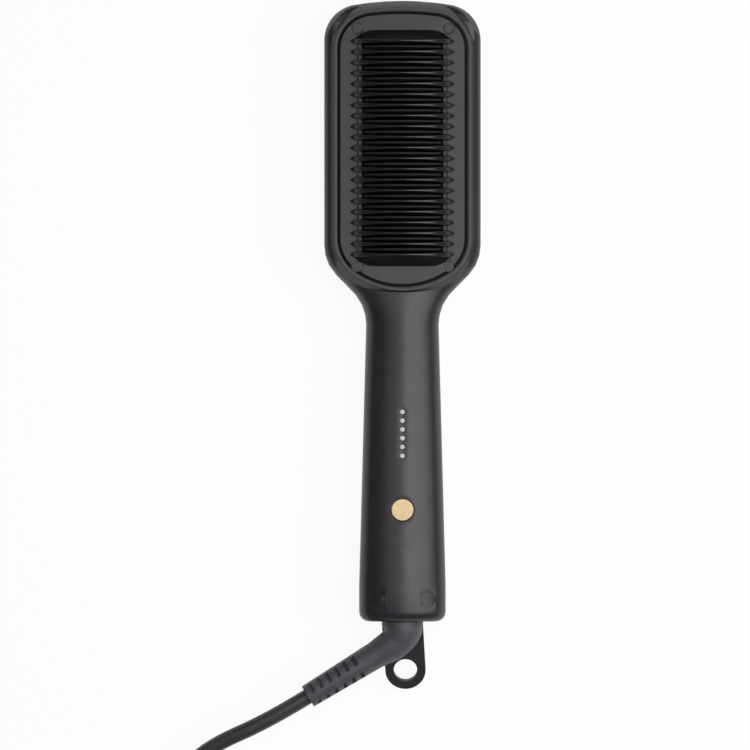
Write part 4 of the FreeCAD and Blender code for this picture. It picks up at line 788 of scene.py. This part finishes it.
@dataclass(frozen=True)
class Part:
    """One solid of the brush, with its edges rounded and its curved faces made smooth.

    Attributes:
        node: the solid's name.
        finish: what it is made of.
        body: the body that it rides on.
        roundings: the edges to round, in their order.
        smooth_angle: the angle, in degrees, up to which two faces are shaded as one.
        flat_faces: whether large faces keep their shading flat beside a rounding.
        end: the soft edge round the head's end, on the front half only.
    """

    node: str
    finish: Finish
    body: Body
    roundings: tuple[Rounding, ...] = ()
    smooth_angle: float = 30.0
    flat_faces: bool = True
    end: RoundedEnd | None = None

    def copy_solid(self) -> Piece:
        """Copies the solid's mesh to an object of its own and joins its loose triangles.

        Returns:
            The new object.
        """
        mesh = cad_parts[self.node].data.copy()
        piece = bpy.data.objects.new(f"{self.node}_finished", mesh)
        bpy.context.collection.objects.link(piece)
        activate(piece)
        bpy.ops.mesh.customdata_custom_splitnormals_clear()
        edit(piece)
        bpy.ops.mesh.select_all(action="SELECT")
        bpy.ops.mesh.remove_doubles(threshold=JOIN_DISTANCE)
        bpy.ops.object.mode_set(mode="OBJECT")
        return piece

    def round_edges(self, piece: Piece) -> None:
        """Rounds each group of sharp edges.

        Args:
            piece: the copied solid.
        """
        edit(piece)
        for rounding in self.roundings:
            if select_edges(piece, rounding.picks):
                bpy.ops.mesh.bevel(offset=rounding.radius * MM, segments=rounding.steps,
                                   affect="EDGES", clamp_overlap=True)
        bpy.ops.object.mode_set(mode="OBJECT")

    def clean(self, piece: Piece) -> None:
        """Merges what the rounding left on top of itself and takes out doubled faces.

        Args:
            piece: the rounded copy.
        """
        mesh = bmesh.new()
        mesh.from_mesh(piece.data)
        bmesh.ops.triangulate(mesh, faces=mesh.faces)
        bmesh.ops.remove_doubles(mesh, verts=mesh.verts, dist=JOIN_DISTANCE)
        bmesh.ops.dissolve_degenerate(mesh, dist=SLIVER_LENGTH, edges=mesh.edges)
        mesh.verts.index_update()
        by_corners: dict[frozenset[int], list[bmesh.types.BMFace]] = {}
        for face in mesh.faces:
            corners = frozenset(vert.index for vert in face.verts)
            by_corners.setdefault(corners, []).append(face)
        doubled = [face for faces in by_corners.values() if len(faces) > 1 for face in faces]
        bmesh.ops.delete(mesh, geom=doubled, context="FACES_ONLY")
        loose_edges = [edge for edge in mesh.edges if not edge.link_faces]
        bmesh.ops.delete(mesh, geom=loose_edges, context="EDGES")
        loose_verts = [vert for vert in mesh.verts if not vert.link_faces]
        bmesh.ops.delete(mesh, geom=loose_verts, context="VERTS")
        log.info("%s: %d edges without two faces", piece.name,
                 sum(len(edge.link_faces) != 2 for edge in mesh.edges))
        mesh.to_mesh(piece.data)
        mesh.free()

    def build(self) -> Piece:
        """Makes the finished part and puts it in the solid's place.

        Returns:
            The finished part.
        """
        piece = self.copy_solid()
        if self.end:
            self.end.shape(piece)
        self.round_edges(piece)
        self.clean(piece)
        activate(piece)
        bpy.ops.object.shade_smooth_by_angle(angle=math.radians(self.smooth_angle))
        if self.flat_faces:
            flat = piece.modifiers.new("flat_faces", "WEIGHTED_NORMAL")
            flat.keep_sharp = True
            bpy.ops.object.modifier_apply(modifier=flat.name)
        dress(piece, self.finish)
        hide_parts(self.node)
        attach(piece, self.body.value)
        return piece


# ---- sub-assemblies

@dataclass
class Housing:
    """The two moulded halves, with the bezel round the comb.

    Its roundings work in boxes: `reach` and `half_length` go round the whole housing, `band` is how
    far above and below a height a box goes, and `hole_low` and `hole_high` hold the grip's holes.
    """

    edge_radius: float = 0.25
    seam_radius: float = 0.2
    hole_radius: float = 0.22
    crest_height: float = 28.0
    seam_height: float = 15.25
    reach: float = 40.0
    half_length: float = 150.0
    band: float = 0.3
    hole_low: Point = (-15.0, -110.0, 25.0)
    hole_high: Point = (15.0, 0.0, 40.0)
    crest_steps: int = 3
    smooth_angle: float = 35.0

    def build(self) -> list[Piece]:
        """Rounds the bezel's crest, the seam between the halves and the rims of the holes.

        Returns:
            The front half and the back half.
        """
        crest = Rounding(self.edge_radius, low=(-self.reach, 0, self.crest_height - self.band),
                         steps=self.crest_steps)
        holes = Rounding(self.hole_radius, low=self.hole_low, high=self.hole_high)
        seam = Rounding(self.seam_radius,
                        low=(-self.reach, -self.half_length, self.seam_height - self.band),
                        high=(self.reach, self.half_length, self.seam_height + self.band))
        front = Part("front_shell", HOUSING, Body.HANDSET, (crest, seam, holes), self.smooth_angle,
                     flat_faces=False, end=RoundedEnd())
        back = Part("back_shell", HOUSING, Body.HANDSET, (seam,), self.smooth_angle,
                    flat_faces=False)
        return [front.build(), back.build()]


@dataclass
class CombHead:
    """The comb cover with its bars and the caps over its screws.

    The heights of the ridges and lips are measured from the plate's top, and the reaches are half
    the width of the box that holds what is rounded.
    """

    ridge_radius: float = 0.34
    lip_radius: float = 0.2
    cup_radius: float = 0.3
    cup_x: float = 19.0
    cup_ys: Pair = (131.6, 32.75)
    cap_radius: float = 0.3
    plate_top: float = 27.6
    head_end: float = 150.0
    bar_reach: float = 21.9
    ridge_start: float = 0.9
    ridge_angle: float = 50.0
    ridge_steps: int = 3
    lip_reach: float = 19.6
    lip_heights: Pair = (0.4, 0.8)
    cup_reach: float = 2.6
    cup_band: float = 0.1

    def build(self) -> list[Piece]:
        """Rounds the bars' ridges, the window's lips, the screw cups' rims and the caps.

        Returns:
            The cover and its caps.
        """
        top, reach = self.plate_top, self.cup_reach
        lip_low, lip_high = self.lip_heights
        ridges = Rounding(self.ridge_radius, low=(-self.bar_reach, 0, top + self.ridge_start),
                          least_angle=self.ridge_angle, steps=self.ridge_steps)
        lips = Rounding(self.lip_radius, low=(-self.lip_reach, 0, top + lip_low),
                        high=(self.lip_reach, self.head_end, top + lip_high))
        cups = [Rounding(self.cup_radius, low=(x - reach, y - reach, top - self.cup_band),
                         high=(x + reach, y + reach, top + self.cup_band))
                for x in (-self.cup_x, self.cup_x) for y in self.cup_ys]
        cover = Part("comb_cover", COMB, Body.HANDSET, (ridges, lips, *cups))
        caps = Part("cover_screw_plugs", CAPS, Body.HANDSET, (Rounding(self.cap_radius),))
        return [cover.build(), caps.build()]


@dataclass
class GripParts:
    """What shows on the grip: its button, its caps and its light windows."""

    button_radius: float = 0.12
    cap_radius: float = 0.35

    def build(self) -> list[Piece]:
        """Rounds the button's rim and the caps.

        Returns:
            The button, the caps and the windows.
        """
        return [
            Part("button_cap", BUTTON_GOLD, Body.BUTTON, (Rounding(self.button_radius),)).build(),
            Part("grip_screw_plugs", CAPS, Body.HANDSET, (Rounding(self.cap_radius),)).build(),
            Part("light_guide", WINDOW, Body.HANDSET).build(),
        ]


@dataclass
class CordSet:
    """What turns with the lead: the collar, the boot, the loop, the strap and the plug."""

    boot_radius: float = 0.2
    loop_radius: float = 0.5
    strap_radius: float = 0.15
    plug_radius: float = 0.5
    pin_radius: float = 0.2
    soft_steps: int = 3

    def build(self) -> list[Piece]:
        """Rounds the moulded edges of each.

        Returns:
            The boot, the loop and the collar, then what the lead carries: the strap, the plug and
            its pins.
        """
        loop_edge = Rounding(self.loop_radius, steps=self.soft_steps)
        plug_edge = Rounding(self.plug_radius, steps=self.soft_steps)
        parts = (
            Part("strain_relief_boot", BOOT_RUBBER, Body.SWIVEL, (Rounding(self.boot_radius),)),
            Part("hang_loop", LOOP, Body.SWIVEL, (loop_edge,)),
            Part("swivel_collar", COLLAR, Body.SWIVEL),
            Part("cord_tie", STRAP, Body.SWIVEL, (Rounding(self.strap_radius),)),
            Part("plug_body", CORD_RUBBER, Body.SWIVEL, (plug_edge,)),
            Part("plug_pins", BRASS, Body.SWIVEL, (Rounding(self.pin_radius),)),
        )
        return [part.build() for part in parts]


@dataclass
class Lead:
    """The flexible mains lead: from the boot down to its coil, round it and out to the plug.

    Lengths are in millimetres and angles in degrees, but `length` is in metres.

    Attributes:
        diameter: the lead's thickness.
        boot_end: where it leaves the boot.
        first_run: how far it runs on straight from there.
        boot_turn: how far the boot points away from the grip's axis.
        descent: two points on its way down to the coil.
        coil_centre: the coil's middle.
        coil_outer: the radius of the outermost turn.
        coil_inner: the radius of the innermost turn.
        coil_start: the direction, from the middle, in which the coil begins.
        coil_end: the direction in which it ends.
        coil_turns: the whole turns in between.
        steps_per_turn: the points of one turn.
        rest_height: the height of the bottom layer's middle line.
        climb: the angle over which it rises to the top layer.
        length: its length.
        tail: three points on its way to the plug.
        roundness: how fine its skin is, round it and along it.
        line_order: the order of its smooth line.
    """

    diameter: float = 6.5
    boot_end: Point = (-39.307, -146.037, 15.25)
    first_run: float = 20.0
    boot_turn: float = 58.5
    descent: tuple[Point, ...] = ((-80.0, -166.8, 10.6), (-94.6, -180.4, 5.2))
    coil_centre: Pair = (-85.5, -233.5)
    coil_outer: float = 50.45
    coil_inner: float = 26.15
    coil_start: float = 121.5
    coil_end: float = 270.0
    coil_turns: int = 7
    steps_per_turn: int = 16
    rest_height: float = 3.85
    climb: float = 120.0
    length: float = 1.93
    tail: tuple[Point, ...] = ((-66.0, -283.95, 10.35), (-47.0, -282.6, 6.85),
                               (-27.0, -282.6, 6.85))
    roundness: int = 6
    line_order: int = 3

    def coil_points(self) -> list[Vector]:
        """Works out the coil: inwards along the bottom layer, then outwards on top of it.

        Returns:
            The points of the turns, in millimetres.
        """
        sweep = self.coil_end - self.coil_start + 360 * self.coil_turns
        count = round(sweep / 360 * self.steps_per_turn)
        points = []
        for step in range(count + 1):
            share = step / count
            angle = math.radians(self.coil_start + sweep * share)
            # 1 at both ends of the coil and 0 halfway, where the lead climbs by one diameter.
            fold = abs(2 * share - 1)
            radius = self.coil_inner + (self.coil_outer - self.coil_inner) * fold
            rise = min(1.0, max(0.0, (share - 0.5) * sweep / self.climb + 0.5))
            height = self.rest_height + self.diameter * rise * rise * (3 - 2 * rise)
            centre = Vector((*self.coil_centre, height))
            points.append(centre + Vector((math.cos(angle), math.sin(angle), 0)) * radius)
        return points

    def route(self) -> list[Vector]:
        """Puts the whole route together.

        Returns:
            The points of the lead's line, in millimetres.
        """
        start = Vector(self.boot_end)
        turn = math.radians(self.boot_turn)
        along = Vector((-math.sin(turn), -math.cos(turn), 0))
        points = [start, start + along * self.first_run]
        points += [Vector(place) for place in self.descent]
        return points + self.coil_points() + [Vector(place) for place in self.tail]

    def build(self, pieces_on_it: list[Piece]) -> Piece:
        """Args:
            pieces_on_it: the strap, the plug and its pins; not used.

        Returns:
            The lead's curve.
        """
        points = self.route()
        curve = bpy.data.curves.new("mains_lead", "CURVE")
        curve.dimensions = "3D"
        curve.bevel_depth = self.diameter / 2 * MM
        curve.bevel_resolution = curve.resolution_u = self.roundness
        curve.use_fill_caps = True
        spline = curve.splines.new("NURBS")
        spline.points.add(len(points) - 1)
        for target, point in zip(spline.points, points):
            target.co = (*(point * MM), 1.0)
        spline.order_u = self.line_order
        spline.use_endpoint_u = True
        lead = bpy.data.objects.new("mains_lead", curve)
        bpy.context.collection.objects.link(lead)
        dress(lead, CORD_RUBBER)
        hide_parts("cord_lead", "cord_coil", "cord_tail")
        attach(lead, Body.SWIVEL.value)
        return lead


@dataclass
class Studio:
    """The pale floor, the soft lamps and the camera straight above the brush.

    The view and the sensor are in millimetres, the floor and the lamps in metres and watts.
    `view_width` is what the frame holds at the height `width_level`, and `floor_glow` is how much
    of the floor's white shows without any shadow.
    """

    view_centre: Pair = (-11.4, -12.3)
    view_height: float = 4000.0
    view_width: float = 311.7
    width_level: float = 20.0
    sensor: float = 36.0
    key_place: Point = (0.5, 0.0, 0.86)
    key_size: Pair = (0.85, 1.0)
    key_power: float = 8.0
    top_place: Point = (-0.1, 0.0, 1.0)
    top_size: Pair = (0.4, 1.1)
    top_power: float = 1.6
    room_light: float = 0.12
    floor_size: float = 30.0
    floor_drop: float = 0.0004
    floor_roughness: float = 0.9
    floor_glow: float = 0.93

    def build_camera(self) -> None:
        """Sets up the camera, which looks straight down with the head at the top of the frame."""
        data = bpy.data.cameras.new("camera")
        data.sensor_width = self.sensor
        data.lens = self.sensor * (self.view_height - self.width_level) / self.view_width
        camera = bpy.data.objects.new("camera", data)
        camera.location = Vector((*self.view_centre, self.view_height)) * MM
        bpy.context.collection.objects.link(camera)
        bpy.context.scene.camera = camera

    def build_floor(self) -> None:
        """Lays the floor: matt paper that takes the brush's soft shadow and glows a little."""
        bpy.ops.mesh.primitive_plane_add(size=self.floor_size, location=(0, 0, -self.floor_drop))
        floor = bpy.context.active_object
        floor.name = "floor"
        material = bpy.data.materials.new("floor_paper")
        material.use_nodes = True
        tree = material.node_tree
        shader = tree.nodes["Principled BSDF"]
        shader.inputs["Base Color"].default_value = linear(Colour.WHITE)
        shader.inputs["Roughness"].default_value = self.floor_roughness
        glow = add_node(tree, "ShaderNodeEmission",
                        {"Color": linear(Colour.WHITE), "Strength": 1.0}, {})
        rays = add_node(tree, "ShaderNodeLightPath", {}, {})
        seen = rays.outputs["Is Camera Ray"]
        for kind in ("Is Glossy Ray", "Is Transmission Ray"):
            seen = add_node(tree, "ShaderNodeMath", {"operation": "MAXIMUM"},
                            {0: seen, 1: rays.outputs[kind]}).outputs["Value"]
        share = add_node(tree, "ShaderNodeMath", {"operation": "MULTIPLY", 1: self.floor_glow},
                         {0: seen})
        mix = add_node(tree, "ShaderNodeMixShader", {}, {"Fac": share.outputs["Value"],
                                                         1: shader.outputs["BSDF"],
                                                         2: glow.outputs["Emission"]})
        tree.links.new(mix.outputs["Shader"], tree.nodes["Material Output"].inputs["Surface"])
        floor.data.materials.append(material)

    def add_lamp(self, name: str, place: Point, size: Pair, power: float) -> None:
        """Hangs one soft box that faces the brush.

        Args:
            name: the lamp's name.
            place: its middle, in metres.
            size: its width and length, in metres.
            power: its power in watts.
        """
        data = bpy.data.lights.new(name, "AREA")
        data.shape = "RECTANGLE"
        data.size, data.size_y = size
        data.energy = power
        lamp = bpy.data.objects.new(name, data)
        lamp.location = place
        lamp.rotation_euler = (-Vector(place)).to_track_quat("-Z", "Y").to_euler()
        bpy.context.collection.objects.link(lamp)

    def build_room(self) -> None:
        """Gives the room its own even light and a white wall to look at."""
        world = bpy.data.worlds.new("room")
        bpy.context.scene.world = world
        world.use_nodes = True
        background = world.node_tree.nodes["Background"]
        background.inputs["Color"].default_value = linear(Colour.WHITE)
        rays = add_node(world.node_tree, "ShaderNodeLightPath", {}, {})
        strength = add_node(world.node_tree, "ShaderNodeMapRange",
                            {"To Min": self.room_light, "To Max": 1.0},
                            {"Value": rays.outputs["Is Camera Ray"]})
        world.node_tree.links.new(strength.outputs["Result"], background.inputs["Strength"])
        bpy.context.scene.view_settings.view_transform = "Standard"

    def build(self) -> None:
        """Sets up the camera, the floor, the lamps and the room."""
        self.build_camera()
        self.build_floor()
        self.add_lamp("key_box", self.key_place, self.key_size, self.key_power)
        self.add_lamp("top_box", self.top_place, self.top_size, self.top_power)
        self.build_room()


@dataclass
class Brush:
    """The whole brush with its finishes."""

    studio: Studio = field(default_factory=Studio)
    lead: Lead = field(default_factory=Lead)
    housing: Housing = field(default_factory=Housing)
    comb_head: CombHead = field(default_factory=CombHead)
    grip_parts: GripParts = field(default_factory=GripParts)
    cord_set: CordSet = field(default_factory=CordSet)

    def dress_inner_parts(self) -> None:
        """Gives each solid that stays as it is its finish."""
        for name, finish in INNER_FINISHES.items():
            dress(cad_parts[name], finish)
            log.info("%s: %s", name, finish.name)

    def build(self) -> None:
        """Builds the studio and then every sub-assembly in order."""
        self.studio.build()
        self.dress_inner_parts()
        pieces = [*self.housing.build(), *self.comb_head.build(), *self.grip_parts.build()]
        boot, loop, collar, *pieces_on_lead = self.cord_set.build()
        for piece in (*pieces, boot, loop, collar, *pieces_on_lead):
            log.info("%s: %d faces", piece.name, len(piece.data.polygons))
        log.info("%s: built", self.lead.build(pieces_on_lead).name)


def main() -> None:
    """Builds the brush."""
    logging.basicConfig(level=logging.INFO, format="%(name)s: %(message)s")
    Brush().build()
    bpy.context.view_layer.update()


if __name__ == "__main__":
    main()
